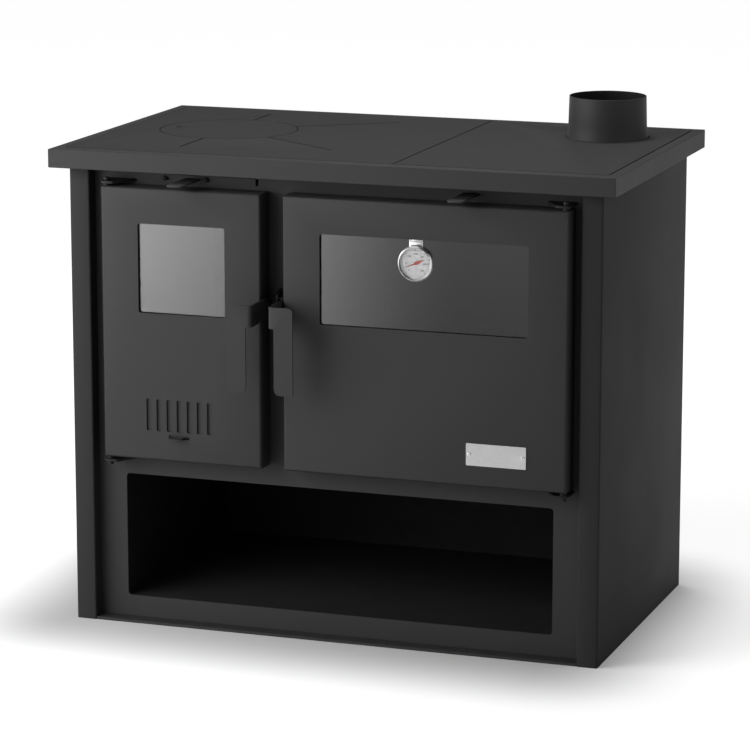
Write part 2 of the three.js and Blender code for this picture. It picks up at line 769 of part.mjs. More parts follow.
// The ash pan stands on the firebox floor, below the grate.
const ashPanX = (fireMouth[0] + fireMouth[1]) / 2;
const ashPanFront = panelY + ashPanSetback;
const ashPanZ = mouthBottom + clearance;
const ashPanLength = boxBack - ashPanBackGap - ashPanFront;
const ashPan = groupAt(stove, ashPanX, ashPanFront, ashPanZ);

// A folded tray with a welded bail on its front to draw it out by.
function ashPanBody() {
  const tray = foldedTray(ashPanWidth, ashPanLength, ashPanHeight, ashPanSheet, 2 * ashPanSheet)
    .translate([0, ashPanLength / 2, 0]);
  const x = bailWidth / 2;
  const y = bailRadius - bailReach;
  const z = bailHeight;
  return join(tray, rod(bailRadius, [-x - bailRadius, y, z], [x + bailRadius, y, z]),
    rod(bailRadius, [-x, y, z], [-x, ashPanSheet / 2, z]),
    rod(bailRadius, [x, y, z], [x, ashPanSheet / 2, z]));
}

add(ashPan, 'ash_pan', ashPanBody(), 'zinc');

// ---------------------------------------------------------------- oven

function ovenBox() {
  const width = ovenMouth[1] - ovenMouth[0] + 2 * ovenSheet;
  const height = mouthTop - mouthBottom + 2 * ovenSheet;
  return foldedTray(width, height, ovenDepth, ovenSheet, casingBend).rotate([90, 0, 0])
    .translate([(ovenMouth[0] + ovenMouth[1]) / 2, behindPanel + ovenDepth,
      (mouthBottom + mouthTop) / 2]);
}

// A pressed side plate with a ledge at each level.
function ovenRunner(side) {
  const wall = (side < 0 ? ovenMouth[0] : ovenMouth[1]) - side * clearance;
  const inner = wall - side * runnerSheet;
  const y0 = behindPanel + runnerEndGap;
  const y1 = behindPanel + ovenDepth - ovenSheet - runnerEndGap;
  const span = (a, b, z0, z1) => block(Math.min(a, b), Math.max(a, b), y0, y1, z0, z1);
  const levels = range(runnerLevels).map((k) => mouthBottom + firstRunner + k * runnerPitch);
  return join(
    span(wall, inner, levels[0] - runnerMargin, levels[runnerLevels - 1] + runnerMargin),
    ...levels.map((z) => span(wall, inner - side * runnerLedge, z - runnerSheet, z)));
}

const rackX0 = ovenMouth[0] + rackPlay;
const rackX1 = ovenMouth[1] - rackPlay - runnerSheet;
const rackY0 = panelY + rackSetback;
const rackDepth = behindPanel + ovenDepth - ovenSheet - rackBackGap - rackY0;
const rackZ = mouthBottom + firstRunner + runnerPitch + clearance + rackRod;

function ovenRack() {
  const y1 = rackY0 + rackDepth;
  const x0 = rackX0 + rackRod;
  const x1 = rackX1 - rackRod;
  const y0 = rackY0 + rackRod;
  const back = y1 - rackRod;
  const pitch = (x1 - x0) / (rackWires + 1);
  return join(
    rod(rackRod, [rackX0, y0, rackZ], [rackX1, y0, rackZ]),
    rod(rackRod, [rackX0, back, rackZ], [rackX1, back, rackZ]),
    rod(rackRod, [x0, y0, rackZ], [x0, back, rackZ]),
    rod(rackRod, [x1, y0, rackZ], [x1, back, rackZ]),
    rod(rackWire, [x0, (y0 + back) / 2, rackZ], [x1, (y0 + back) / 2, rackZ]),
    ...range(rackWires).map((k) => rod(rackWire, [x0 + (k + 1) * pitch, y0, rackZ],
      [x0 + (k + 1) * pitch, back, rackZ])));
}

// A shallow enamelled tray that hangs in the lowest runners by its rim.
function bakingTray() {
  const z = mouthBottom + firstRunner + clearance;
  const width = rackX1 - rackX0;
  const middle = (rackX0 + rackX1) / 2;
  const bowlWidth = ovenMouth[1] - ovenMouth[0]
    - 2 * (runnerLedge + runnerSheet + clearance + trayBowlPlay);
  const bowl = foldedTray(bowlWidth, rackDepth - 2 * trayRim, trayHeight, traySheet, trayCorner);
  const rim = cut(
    prismZ(rectangle(-width / 2, width / 2, -rackDepth / 2, rackDepth / 2, trayRim),
      trayHeight - traySheet, trayHeight),
    prismZ(rectangle(-bowlWidth / 2 + traySheet, bowlWidth / 2 - traySheet,
      -rackDepth / 2 + trayRim + traySheet, rackDepth / 2 - trayRim - traySheet),
    trayHeight - 2 * traySheet, trayHeight + beyond));
  return join(bowl, rim)
    .translate([middle, rackY0 + rackDepth / 2, z - trayHeight + traySheet]);
}

add(stove, 'oven_box', ovenBox(), 'inside');
add(stove, 'oven_runner_left', ovenRunner(-1), 'zinc');
add(stove, 'oven_runner_right', ovenRunner(1), 'zinc');
add(stove, 'oven_rack', ovenRack(), 'steel');
add(stove, 'baking_tray', bakingTray(), 'enamel');

// ---------------------------------------------------------------- smoke ways and damper

const ovenOuterLeft = ovenMouth[0] - ovenSheet;
const ovenBackY = behindPanel + ovenDepth;
const flueBoxFront = collarY - flueBoxBeforeCollar;
const flueBoxWidth = flueBoxFromCollar + flueBoxPastCollar;
const flueBoxDepth = backPanelY - clearance - flueBoxFront;
const flapZ = airRowZ;

// Closes the gap between firebox and oven, so that the smoke stays above the oven.
function bridgePlate() {
  return block(boxRight + fireboxSheet + clearance, ovenOuterLeft - clearance, behindPanel,
    ovenBackY, ovenOuterTop - deckSheet, ovenOuterTop);
}

// A tray on top of the oven below the collar. Smoke enters it from behind the oven, or through
// the bypass in its front while the damper is pulled.
function flueBox() {
  const height = casingTop - ovenOuterTop - clearance;
  const tray = foldedTray(flueBoxWidth, flueBoxDepth, height, flueBoxSheet, casingBend)
    .translate([flueBoxLeft + flueBoxWidth / 2, flueBoxFront + flueBoxDepth / 2,
      ovenOuterTop + clearance]);
  return cut(tray,
    prismZ(rectangle(flueBoxLeft + throatInset, flueBoxLeft + flueBoxWidth - throatInset,
      ovenBackY + throatGap, backPanelY - clearance - throatInset, storeCorner),
    ovenOuterTop - beyond, ovenOuterTop + flueBoxSheet + casingBend),
    prismY(rectangle(damperLeverX - bypassWidth / 2, damperLeverX + bypassWidth / 2,
      flapZ - bypassHeight / 2, flapZ + bypassHeight / 2, storeCorner),
    flueBoxFront - beyond, flueBoxFront + flueBoxSheet + beyond));
}

const flapBack = flueBoxFront - clearance;

function damperFlap() {
  const width = bypassWidth / 2 + flapLap;
  const height = bypassHeight / 2 + flapLap;
  return prismY(rectangle(damperLeverX - width, damperLeverX + width, flapZ - height,
    flapZ + height, storeCorner), flapBack - flapSheet, flapBack);
}

// A flat bar from the flap out through the front panel, with a rounded finger end. Its wide
// stretch goes as far behind the panel as the damper travels, so that it fills its slot.
function damperRod() {
  const half = leverWidth / 2;
  const neck = damperNeck / 2;
  const front = panelY - leverReach;
  const wideEnd = panelY + damperTravel;
  const neckEnd = wideEnd + damperTaper;
  const back = flapBack - flapSheet - clearance;
  return prismZ(outline([
    [damperLeverX - half, front, leverCorner], [damperLeverX + half, front, leverCorner],
    [damperLeverX + half, wideEnd, leverCorner], [damperLeverX + neck, neckEnd, leverCorner],
    [damperLeverX + neck, back], [damperLeverX - neck, back],
    [damperLeverX - neck, neckEnd, leverCorner], [damperLeverX - half, wideEnd, leverCorner],
  ]), flapZ - leverSheet / 2, flapZ + leverSheet / 2);
}

add(stove, 'bridge_plate', bridgePlate(), 'inside');
add(stove, 'flue_box', flueBox(), 'inside');
add(stove, 'damper_flap', damperFlap(), 'iron');
add(stove, 'damper_rod', damperRod(), 'paint');

// ---------------------------------------------------------------- air slide above the fire door

// A strip with a turned-out lever. It slides on two screws and uncovers the air inlet.
function airSlide() {
  const back = panelY - clearance;
  const front = back - slideSheet;
  const lever = [slideLeft + slideLeverInset, slideLeft + slideLeverInset + leverWidth];
  const strip = prismY(rectangle(slideLeft, slideLeft + slideLength,
    airRowZ - slideHeight / 2, airRowZ + slideHeight / 2, 1.5), front, back);
  const slot = (k) => prismY(rectangle(slideScrewX(k) - slideScrewRadius - clearance,
    slideScrewX(k) + slideScrewRadius + slideTravel + clearance,
    airRowZ - slideScrewRadius - clearance, airRowZ + slideScrewRadius + clearance, 2),
  front - beyond, back + beyond);
  const tongue = prismZ(outline([
    [lever[0], panelY - leverReach, leverCorner], [lever[1], panelY - leverReach, leverCorner],
    [lever[1], front + beyond], [lever[0], front + beyond],
  ]), airRowZ - leverSheet / 2, airRowZ + leverSheet / 2);
  return join(cut(strip, ...range(2).map(slot)), tongue);
}

function slideScrew(k) {
  return steppedPin([[slideScrewHead, 2.5], [slideScrewRadius, slideSheet + panelSheet + 6]], 16)
    .rotate([-90, 0, 0])
    .translate([slideScrewX(k), panelY - 2 * clearance - slideSheet - 2.5, airRowZ]);
}

add(stove, 'air_slide', airSlide(), 'paint');
add(stove, 'air_slide_screw_left', slideScrew(0), 'steel');
add(stove, 'air_slide_screw_right', slideScrew(1), 'steel');

// ---------------------------------------------------------------- hinges and latch keeper

// A flat ear from the front panel to the pin. side is -1 for a door hinged on its left.
function hingeEar(pinX, side, z) {
  const nose = pinY - earNose;
  const root = panelY - clearance;
  const near = pinX + side * earNose;
  const far = pinX - side * (earRoot - earNose);
  const plate = prismZ(outline([
    [near, root], [near, nose, earNoseCorner], [near - side * earNoseLength, nose, 3],
    [far, root],
  ]), z, z + earThickness);
  return cut(plate, rod(pinRadius + pinPlay, [pinX, pinY, z - beyond],
    [pinX, pinY, z + earThickness + beyond], 24));
}

// The pin's head lies beyond the ear, a collar fills the space to the door, and the end
// stands in the door's folded edge. It is drawn for the upper hinge, head up.
function hingePin() {
  const collar = earAway - 2 * clearance;
  return steppedPin([
    [pinRadius, pinDepth + clearance], [pinCollarRadius, collar],
    [pinRadius, earThickness + 2 * clearance], [pinHeadRadius, pinHeadHeight],
  ]);
}

const firePinX = fireLeft + pinInset;
const ovenPinX = ovenRight - pinInset;
const upperEarZ = doorTop + earAway;
const lowerEarZ = doorBottom - earAway - earThickness;

add(stove, 'fire_hinge_ear_upper', hingeEar(firePinX, -1, upperEarZ), 'paint');
add(stove, 'fire_hinge_ear_lower', hingeEar(firePinX, -1, lowerEarZ), 'paint');
add(stove, 'oven_hinge_ear_upper', hingeEar(ovenPinX, 1, upperEarZ), 'paint');
add(stove, 'oven_hinge_ear_lower', hingeEar(ovenPinX, 1, lowerEarZ), 'paint');

// A plate between the doors carries one cross pin, which both handles hook behind.
function latchKeeper() {
  const x = (fireRight + ovenLeft) / 2;
  const y = pivotY + keeperPinBack;
  const z = pivotZ + keeperPinAbove;
  const plate = prismX(outline([
    [panelY - clearance, z - keeperRoot / 2], [y - keeperLip, z - keeperNose / 2, 5],
    [y - keeperLip, z + keeperNose / 2, 5], [panelY - clearance, z + keeperRoot / 2],
  ]), x - keeperPlate / 2, x + keeperPlate / 2);
  return join(plate, rod(keeperPinRadius, [fireRight + keeperPinEndGap, y, z],
    [ovenLeft - keeperPinEndGap, y, z], 16));
}

add(stove, 'latch_keeper', latchKeeper(), 'paint');

// ---------------------------------------------------------------- doors

// Door pieces are drawn with x from 0 at the hinge edge to the door's width at the free edge,
// y from 0 at the door's front and z from 0 at its lower edge. A door hinged on its right is
// the same drawing mirrored in x.
const glassFront = doorSheet + glassSetback;
const linerFront = linerBack - linerSheet;

const ring = (x0, x1, z0, z1, width, y0, y1, radius) => cut(
  prismY(rectangle(x0, x1, z0, z1, radius), y0, y1),
  prismY(rectangle(x0 + width, x1 - width, z0 + width, z1 - width, Math.max(radius - width, 0)),
    y0 - beyond, y1 + beyond));

function doorPan(width, windowX0, windowX1) {
  const pan = foldedTray(width, doorHeight, doorDepth, doorSheet, doorBend)
    .rotate([-90, 0, 0]).translate([width / 2, 0, doorHeight / 2]);
  const pinHole = (z) => rod(pinRadius + pinPlay, [pinInset, pinBehindFront, z - doorSheet - beyond],
    [pinInset, pinBehindFront, z + doorSheet + beyond], 24);
  return cut(pan,
    prismY(rectangle(windowX0, windowX1, windowBottom, windowBottom + windowHeight,
      windowCorner), -beyond, doorSheet + beyond),
    pinHole(0), pinHole(doorHeight),
    rod(pivotRadius + pinPlay, [width - doorSheet - beyond, pivotBehindFront, pivotAboveBottom],
      [width + beyond, pivotBehindFront, pivotAboveBottom], 24));
}

// The inner plate closes the door's back. It is cut out behind the window, and a welded frame
// round the cut-out presses the glass forward.
function doorLiner(width, windowX0, windowX1, airX0, airX1) {
  const edge = doorSheet + clearance;
  const lap = glassLap - retainerThickness;
  const plate = join(
    prismY(rectangle(edge, width - edge, edge, doorHeight - edge, 4), linerFront, linerBack),
    prismY(rectangle(windowX0 - glassLap, windowX1 + glassLap, windowBottom - glassLap,
      windowBottom + windowHeight + glassLap, 3),
    glassFront + glassThickness + clearance, linerFront + beyond));
  const window = prismY(rectangle(windowX0 - lap, windowX1 + lap, windowBottom - lap,
    windowBottom + windowHeight + lap, 1), glassFront, linerBack + beyond);
  if (airX1 === undefined) return cut(plate, window);
  return cut(plate, window, prismY(rectangle(airX0, airX1, airSlotBottom - airWindowMargin,
    airSlotBottom + airSlotHeight + airWindowMargin, windowCorner),
  linerFront - beyond, linerBack + beyond));
}

function glassPane(windowX0, windowX1) {
  return prismY(rectangle(windowX0 - glassLap, windowX1 + glassLap, windowBottom - glassLap,
    windowBottom + windowHeight + glassLap, 3), glassFront, glassFront + glassThickness);
}

// The sealing rope lies on the inner plate and meets the front panel.
function sealingRope(width) {
  return ring(ropeInset, width - ropeInset, ropeInset, doorHeight - ropeInset, ropeWidth,
    linerBack + clearance, panelY - doorFront - clearance, 8);
}

// A bent plate: the grip, a shoulder, a side cheek on the pivot and a tooth behind the keeper
// pin. It is drawn about its pivot, with x from 0 at the outer face of the cheek to the grip.
function doorHandle() {
  const front = -pivotBehindFront - handleStandout;
  const top = handleAbovePivot;
  const bottom = top - gripLength;
  const step = top - shoulderHeight;
  const reach = shoulderWidth + gripWidth;
  const boss = 2 * pivotRadius;
  const slotFloor = keeperPinAbove - keeperPinRadius - slotPlay;
  const toothFront = keeperPinBack + keeperPinRadius + toothPlay;
  const toothBack = toothFront + toothWidth;
  const toothTop = keeperPinAbove + toothRise;
  const sheet = prismZ(
    foldedSheet([[reach, front], [0, front], [0, toothBack]], handleSheet, handleBend),
    bottom - beyond, Math.max(top, toothTop) + beyond);
  const grip = prismY(outline([
    [-beyond, top], [-beyond, step], [shoulderWidth, step], [shoulderWidth, bottom, gripLowCorner],
    [reach, bottom, gripEdgeCorner], [reach, top, gripTopCorner],
  ]), front - beyond, front + handleBend);
  const cheek = prismX(outline([
    [front - beyond, top], [0, top], [boss * 0.7, boss * 0.7], [boss * 0.92, slotFloor],
    [toothFront, slotFloor], [toothFront, toothTop], [toothBack, toothTop],
    [toothBack, -toothRoot], [toothFront - toothWidth - toothPlay, -cheekBack],
    [-2 * boss, -cheekRise], [front / 2, step, cheekLowCorner], [front - beyond, step],
  ]), -beyond, handleBend);
  return cut(sheet.intersect(join(grip, cheek)),
    rod(pivotRadius + pinPlay, [-beyond, 0, 0], [handleSheet + beyond, 0, 0], 24));
}

// A shouldered bolt through the cheek, the spacer and the door's folded edge.
function handleBolt() {
  return steppedPin([
    [boltHeadRadius, boltHeadHeight], [pivotRadius, handleSheet + 2 * clearance],
    [boltHeadRadius, handleSpacer - 2 * clearance], [pivotRadius, doorSheet + 2 * clearance],
    [boltHeadRadius, 5],
  ]).rotate([0, 90, 0]).translate([-boltHeadHeight - clearance, 0, 0]);
}

// Builds one door. hand is 1 for a door hinged on its left and -1 on its right.
function buildDoor(name, width, edgeX, hand, windowInset, windowWidth) {
  const flip = (solid) => (hand > 0 ? solid : solid.mirror([1, 0, 0]));
  const window = [windowInset, windowInset + windowWidth];
  const door = groupAt(stove, edgeX, doorFront, doorBottom);
  const air = hand > 0 ? [airSlotInset - airSlotPitch,
    airSlotInset + airSlots * airSlotPitch] : [];
  const pan = doorPan(width, ...window);
  add(door, `${name}_door_panel`, flip(hand > 0 ? cut(pan, ...airOpenings()) : pan), 'paint');
  add(door, `${name}_door_liner`, flip(doorLiner(width, ...window, ...air)), 'inside');
  add(door, `${name}_glass`, flip(glassPane(...window)), 'glass');
  add(door, `${name}_sealing_rope`, flip(sealingRope(width)), 'rope');
  const pinZ = doorHeight + clearance - pinDepth - clearance;
  const upper = groupAt(door, hand * pinInset, pinBehindFront, pinZ);
  add(upper, `${name}_hinge_pin_upper`, hingePin(), 'paint');
  const lower = groupAt(door, hand * pinInset, pinBehindFront, doorHeight - pinZ);
  lower.rotation.x = Math.PI;
  add(lower, `${name}_hinge_pin_lower`, hingePin(), 'paint');
  const pivot = groupAt(door, hand * (width + handleSpacer + handleSheet), pivotBehindFront,
    pivotAboveBottom);
  const turn = (solid) => (hand > 0 ? solid.mirror([1, 0, 0]) : solid);
  add(pivot, `${name}_handle`, turn(doorHandle()), 'paint');
  add(pivot, `${name}_handle_bolt`, turn(handleBolt()), 'steel');
  return door;
}

// ---------------------------------------------------------------- air shutter in the fire door

const shutterZ0 = airSlotBottom - shutterMargin;
const shutterZ1 = airSlotBottom + airSlotHeight + shutterMargin;
const shutterX0 = airSlotInset - airSlotPitch / 2 - airSlotWidth / 2 - shutterEnd;
const shutterX1 = airSlotInset + (airSlots - 1) * airSlotPitch + airSlotWidth / 2 + shutterEnd;
const tabX = airSlotInset + ((airSlots - 1) * airSlotPitch) / 2 - shutterTravel / 2;
const slotShift = airSlotPitch / 2; // slots in the strip from those in the door, when shut
const tabZ = airSlotBottom - tabDrop;

const airSlot = (k, y0, y1, extra) => prismY(rectangle(
  airSlotInset + k * airSlotPitch - airSlotWidth / 2 - extra,
  airSlotInset + k * airSlotPitch + airSlotWidth / 2 + extra,
  airSlotBottom - extra, airSlotBottom + airSlotHeight + extra, airSlotCorner + extra),
y0, y1);

function airOpenings() {
  const slots = range(airSlots).map((k) => airSlot(k, -beyond, doorSheet + beyond, 0));
  const tabSlot = prismY(rectangle(tabX - tabWidth / 2 - tabPlay,
    tabX + tabWidth / 2 + shutterTravel + tabPlay, tabZ - leverPlay,
    tabZ + shutterSheet + 2 * tabPlay, airSlotCorner), -beyond, doorSheet + beyond);
  return [...slots, tabSlot];
}

// A strip with the same slots, turned out below into a finger tab.
function airShutter() {
  const front = doorSheet + clearance;
  const back = front + shutterSheet;
  const strip = prismY(rectangle(shutterX0, shutterX1, shutterZ0, shutterZ1), front, back);
  const tab = prismX(foldedSheet([
    [back, shutterZ0 + shutterSheet], [back, tabZ], [-tabReach, tabZ],
  ], shutterSheet, 1.5 * shutterSheet), tabX - tabWidth / 2, tabX + tabWidth / 2);
  const slots = range(airSlots).map((k) =>
    airSlot(k, front - beyond, back + beyond, shutterPlay).translate([-slotShift, 0, 0]));
  return join(cut(strip, ...slots), tab);
}

// A channel above and below holds the strip against the door and lets it slide.
function shutterGuide() {
  const front = doorSheet + clearance;
  const strip = front + shutterSheet + clearance;
  const back = strip + shutterSheet;
  const x0 = shutterX0 - guideEnd;
  const x1 = shutterX1 + shutterTravel + guideEnd;
  const z0 = shutterZ0 - guideLip;
  const z1 = shutterZ1 + guideLip;
  const way = block(x0 - beyond, x1 + beyond, front - beyond, strip, shutterZ0 - clearance,
    shutterZ1 + clearance);
  const airWindow = block(airSlotInset - airSlotPitch, x1 - guideStop, front - beyond,
    back + beyond, airSlotBottom - guideWindow, airSlotBottom + airSlotHeight + guideWindow);
  const tabWay = block(tabX - tabWidth / 2 - tabPlay,
    tabX + tabWidth / 2 + shutterTravel + tabPlay, front - beyond, strip, z0 - beyond,
    shutterZ0);
  return cut(prismY(rectangle(x0, x1, z0, z1), front, back), way, airWindow, tabWay);
}

const fireDoor = buildDoor('fire', fireDoorWidth, fireLeft, 1, fireWindowInset, fireWindowWidth);
add(fireDoor, 'air_shutter', airShutter(), 'paint');
add(fireDoor, 'air_shutter_guide', shutterGuide(), 'inside');

// ---------------------------------------------------------------- on the oven door

const ovenDoor = buildDoor('oven', ovenDoorWidth, ovenRight, -1, ovenWindowInset,
  ovenWindowWidth);

// Thermometer pieces are drawn about the dial's centre, with y from 0 at the back of the case.
const dialZ = windowBottom + windowHeight - dialBelowWindowTop;
const dialGroup = groupAt(ovenDoor, -dialFromHinge, glassFront - clearance, dialZ);
const towardsFront = (solid) => solid.rotate([90, 0, 0]);

function thermometerCase() {
  const cup = towardsFront(turned([
    [0, 0], [dialRadius, 0], [dialRadius, dialDepth], [dialRadius - dialRim, dialDepth],
    [dialRadius - dialRim, dialDepth - 1.2], [dialRadius - dialSheet, dialDepth - 1.2],
    [dialRadius - dialSheet, dialSheet], [0, dialSheet],
  ], 40));
  const sheetBack = -(glassFront - clearance - doorSheet) + clearance;
  const edge = dialBelowWindowTop - clearance;
  const hook = prismX(outline([
    [-hookSheet, dialRadius - 6], [-hookSheet, edge - 4],
    [sheetBack, edge - 2], [sheetBack, edge + hookLap],
    [sheetBack + hookSheet, edge + hookLap], [sheetBack + hookSheet, edge - 2],
    [0, edge - 4], [0, dialRadius - 6],
  ]), -hookWidth / 2, hookWidth / 2);
  return join(cup, hook);
}

const dialFaceY = -dialSheet - 2;

function thermometerDial() {
  return towardsFront(turned([[0, dialSheet + clearance], [dialRadius - dialSheet - clearance,
    dialSheet + clearance], [dialRadius - dialSheet - clearance, -dialFaceY],
  [hubRadius / 2, -dialFaceY], [0, -dialFaceY]], 40));
}

function thermometerNeedle() {
  const front = dialFaceY - clearance - needleSheet;
  const arrow = prismY(outline([
    [-needleTail, -0.5], [-needleWaist, -0.9], [needleWaist, -needleHalf], [needleLength, 0],
    [needleWaist, needleHalf], [-needleWaist, 0.9], [-needleTail, 0.5],
  ]), front, front + needleSheet);
  const hub = rod(hubRadius, [0, front - 0.8, 0], [0, front + needleSheet, 0], 16);
  return join(arrow, hub).rotate([0, -needleAngle, 0]);
}

function thermometerLens() {
  return towardsFront(turned([[0, dialDepth - 3], [dialRadius - dialSheet - clearance,
    dialDepth - 3], [dialRadius - dialSheet - clearance, dialDepth - 1.2 - clearance],
  [0, dialDepth - 1.2 - clearance]], 40));
}

add(dialGroup, 'thermometer_case', thermometerCase(), 'steel');
add(dialGroup, 'thermometer_dial', thermometerDial(), 'dial');
add(dialGroup, 'thermometer_needle', thermometerNeedle(), 'needle');
add(dialGroup, 'thermometer_lens', thermometerLens(), 'lens');

// A bare plate with a rivet at each end.
const plateGroup = groupAt(ovenDoor, -plateFromHinge - plateWidth / 2, 0,
  plateAboveBottom + plateHeight / 2);
const rivetX = plateWidth / 2 - rivetInset;

function barePlate() {
  const plate = prismY(rectangle(-plateWidth / 2, plateWidth / 2, -plateHeight / 2,
    plateHeight / 2, 1.5), -plateSheet - clearance, -clearance);
  return cut(plate, ...[-1, 1].map((side) => rod(rivetRadius / 2 + clearance,
    [side * rivetX, -plateSheet - beyond, 0], [side * rivetX, beyond, 0], 12)));
}

function rivet() {
  const foot = plateSheet + 2 * clearance;
  return towardsFront(turned([[0, clearance / 2], [rivetRadius / 2, clearance / 2],
    [rivetRadius / 2, foot], [rivetRadius, foot], [rivetRadius * 0.8, foot + 0.8],
    [rivetRadius * 0.4, foot + 1.1], [0, foot + 1.2]], 16));
}

add(plateGroup, 'bare_plate', barePlate(), 'steel');
[-1, 1].forEach((side) => {
  const place = groupAt(plateGroup, side * rivetX, 0, 0);
  add(place, side < 0 ? 'plate_rivet_left' : 'plate_rivet_right', rivet(), 'steel');
});

export default stove;
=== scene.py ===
# %% [markdown]
# # A cookstove in black sheet steel
#
# The stove is a folded steel cabinet with a fire door, an oven door, an open wood store and
# a steel hob. Its solids already exist at their real size, so this lesson is about looks:
# how folded, painted sheet catches light, and how the few bright pieces differ from it.
# First the solids are loaded. They are the frame that every later piece is fitted to.

# %% Load the frame
import json
import math

import bmesh
import bpy
from mathutils import Matrix, Vector


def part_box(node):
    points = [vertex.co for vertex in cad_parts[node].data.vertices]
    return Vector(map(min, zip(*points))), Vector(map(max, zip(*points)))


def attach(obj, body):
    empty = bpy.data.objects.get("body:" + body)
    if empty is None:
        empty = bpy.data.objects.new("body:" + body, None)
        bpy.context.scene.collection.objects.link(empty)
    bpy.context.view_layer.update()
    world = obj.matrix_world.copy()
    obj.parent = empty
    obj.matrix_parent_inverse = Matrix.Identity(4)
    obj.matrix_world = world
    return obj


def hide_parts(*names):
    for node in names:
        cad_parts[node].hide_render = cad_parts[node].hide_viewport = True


MM = 0.001
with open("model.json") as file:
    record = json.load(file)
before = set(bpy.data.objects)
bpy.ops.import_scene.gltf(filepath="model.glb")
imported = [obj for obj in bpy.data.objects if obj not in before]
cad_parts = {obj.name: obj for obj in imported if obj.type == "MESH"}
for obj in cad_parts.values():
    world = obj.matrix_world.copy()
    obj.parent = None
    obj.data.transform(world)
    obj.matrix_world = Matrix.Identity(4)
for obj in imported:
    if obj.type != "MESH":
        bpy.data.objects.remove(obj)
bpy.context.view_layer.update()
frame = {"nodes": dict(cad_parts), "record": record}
record = frame["record"]
body_of = {node: body for body, members in record["behaviour"]["bodies"].items()
           for node in members}
slot_of = {part["node"]: part["material_slot"] for part in record["subparts"]}

# %% [markdown]
# ## The camera
# A product photographer stands a long way back and zooms in, so that upright edges stay
# nearly parallel. The lens here is long for the same reason, and the camera looks down a
# little, which shows the hob.

# %% Camera
CAMERA_PLACE = Vector((1.926, -5.595, 1.6751))
CAMERA_TURN = math.radians(19.144)
CAMERA_PITCH = math.radians(12.048)
LENS = 164.8
SENSOR_WIDTH = 36
VIEW_REACH = 60


def photo_camera():
    data = bpy.data.cameras.new("photo_camera")
    data.lens = LENS
    data.sensor_width = SENSOR_WIDTH
    data.clip_end = VIEW_REACH
    camera = bpy.data.objects.new("photo_camera", data)
    camera.location = CAMERA_PLACE
    camera.rotation_euler = (math.pi / 2 - CAMERA_PITCH, 0, CAMERA_TURN)
    bpy.context.scene.collection.objects.link(camera)
    bpy.context.scene.camera = camera


photo_camera()
bpy.context.scene.view_settings.view_transform = "Standard"
print("camera height in m:", round(CAMERA_PLACE.z, 2), "lens in mm:", LENS)

# %% [markdown]
# ## One helper for all node trees
# Materials and Geometry Nodes are both trees of nodes. `put` adds one node, sets its
# properties, and gives each named input either a value or a link from another node.

# %% Node helper


def put(tree, kind, feeds=None, **settings):
    node = tree.nodes.new(kind)
    for key, value in settings.items():
        setattr(node, key, value)
    for key, source in (feeds or {}).items():
        if isinstance(source, bpy.types.NodeSocket):
            tree.links.new(source, node.inputs[key])
        else:
            node.inputs[key].default_value = source
    return node


def math_node(tree, operation, *values):
    return put(tree, "ShaderNodeMath", dict(enumerate(values)), operation=operation).outputs[0]


def vector_node(tree, operation, *values):
    return put(tree, "ShaderNodeVectorMath", dict(enumerate(values)),
               operation=operation).outputs[0]


# %% [markdown]
# ## The room
# Black paint has almost no colour of its own. What the eye reads is the room in it, so the
# light matters more than the paint. The room itself is dim. Low down it has a white backdrop,
# which the camera, mirrors and glass see, but which gives no light, so it can't wash out
# the stove.

# %% Room
WORLD_FILL = 0.1
BACKDROP_TOP = 0.22


def seen_directly(tree):
    """1 for camera, mirror and glass rays, and 0 for the light that falls on things."""
    path = put(tree, "ShaderNodeLightPath")
    either = math_node(tree, "MAXIMUM", path.outputs["Is Camera Ray"],
                       path.outputs["Is Glossy Ray"])
    return math_node(tree, "MAXIMUM", either, path.outputs["Is Transmission Ray"])


def studio_world():
    """A white backdrop up to a low height, and a plain dim room above it."""
    world = bpy.data.worlds.new("studio")
    bpy.context.scene.world = world
    world.use_nodes = True
    tree = world.node_tree
    way = put(tree, "ShaderNodeSeparateXYZ",
              {"Vector": put(tree, "ShaderNodeTexCoord").outputs["Generated"]})
    backdrop = put(tree, "ShaderNodeMapRange", {
        "Value": way.outputs["Z"], "From Min": 0.0, "From Max": BACKDROP_TOP,
        "To Min": 1.0, "To Max": 0.0}, interpolation_type="SMOOTHSTEP")
    white = math_node(tree, "MULTIPLY", seen_directly(tree), backdrop.outputs["Result"])
    level = put(tree, "ShaderNodeMapRange", {"Value": white, "To Min": WORLD_FILL,
                                             "To Max": 1.0})
    tree.links.new(level.outputs["Result"], tree.nodes["Background"].inputs["Strength"])
    tree.nodes["Background"].inputs["Color"].default_value = (1, 1, 1, 1)


studio_world()
print("world fill:", WORLD_FILL)

# %% [markdown]
# ## The floor
# The floor is grey paper that takes the soft shadow of the stove. The camera sees it lifted
# to white by a glow that grows with the distance from the base plate, so the floor is painted
# darker near the stove. Close to the plate the glow nearly goes out, which paints a dark
# shadow line where the stove stands. On the right the painted line is shorter, since the side
# light gets in there.

# %% Floor
FLOOR_GREY = 0.5
FLOOR_REACH = 30
NEAR_LIFT = 0.56
FAR_LIFT = 0.93
LIFT_REACH = 2.6
CONTACT_SHARE = 0.04
CONTACT_REACH = 0.28
CONTACT_SHORT = 0.1


def flat_sheet(name, corners, material):
    mesh = bpy.data.meshes.new(name)
    mesh.from_pydata(corners, [], [range(len(corners))])
    mesh.materials.append(material)
    sheet = bpy.data.objects.new(name, mesh)
    bpy.context.scene.collection.objects.link(sheet)
    return sheet


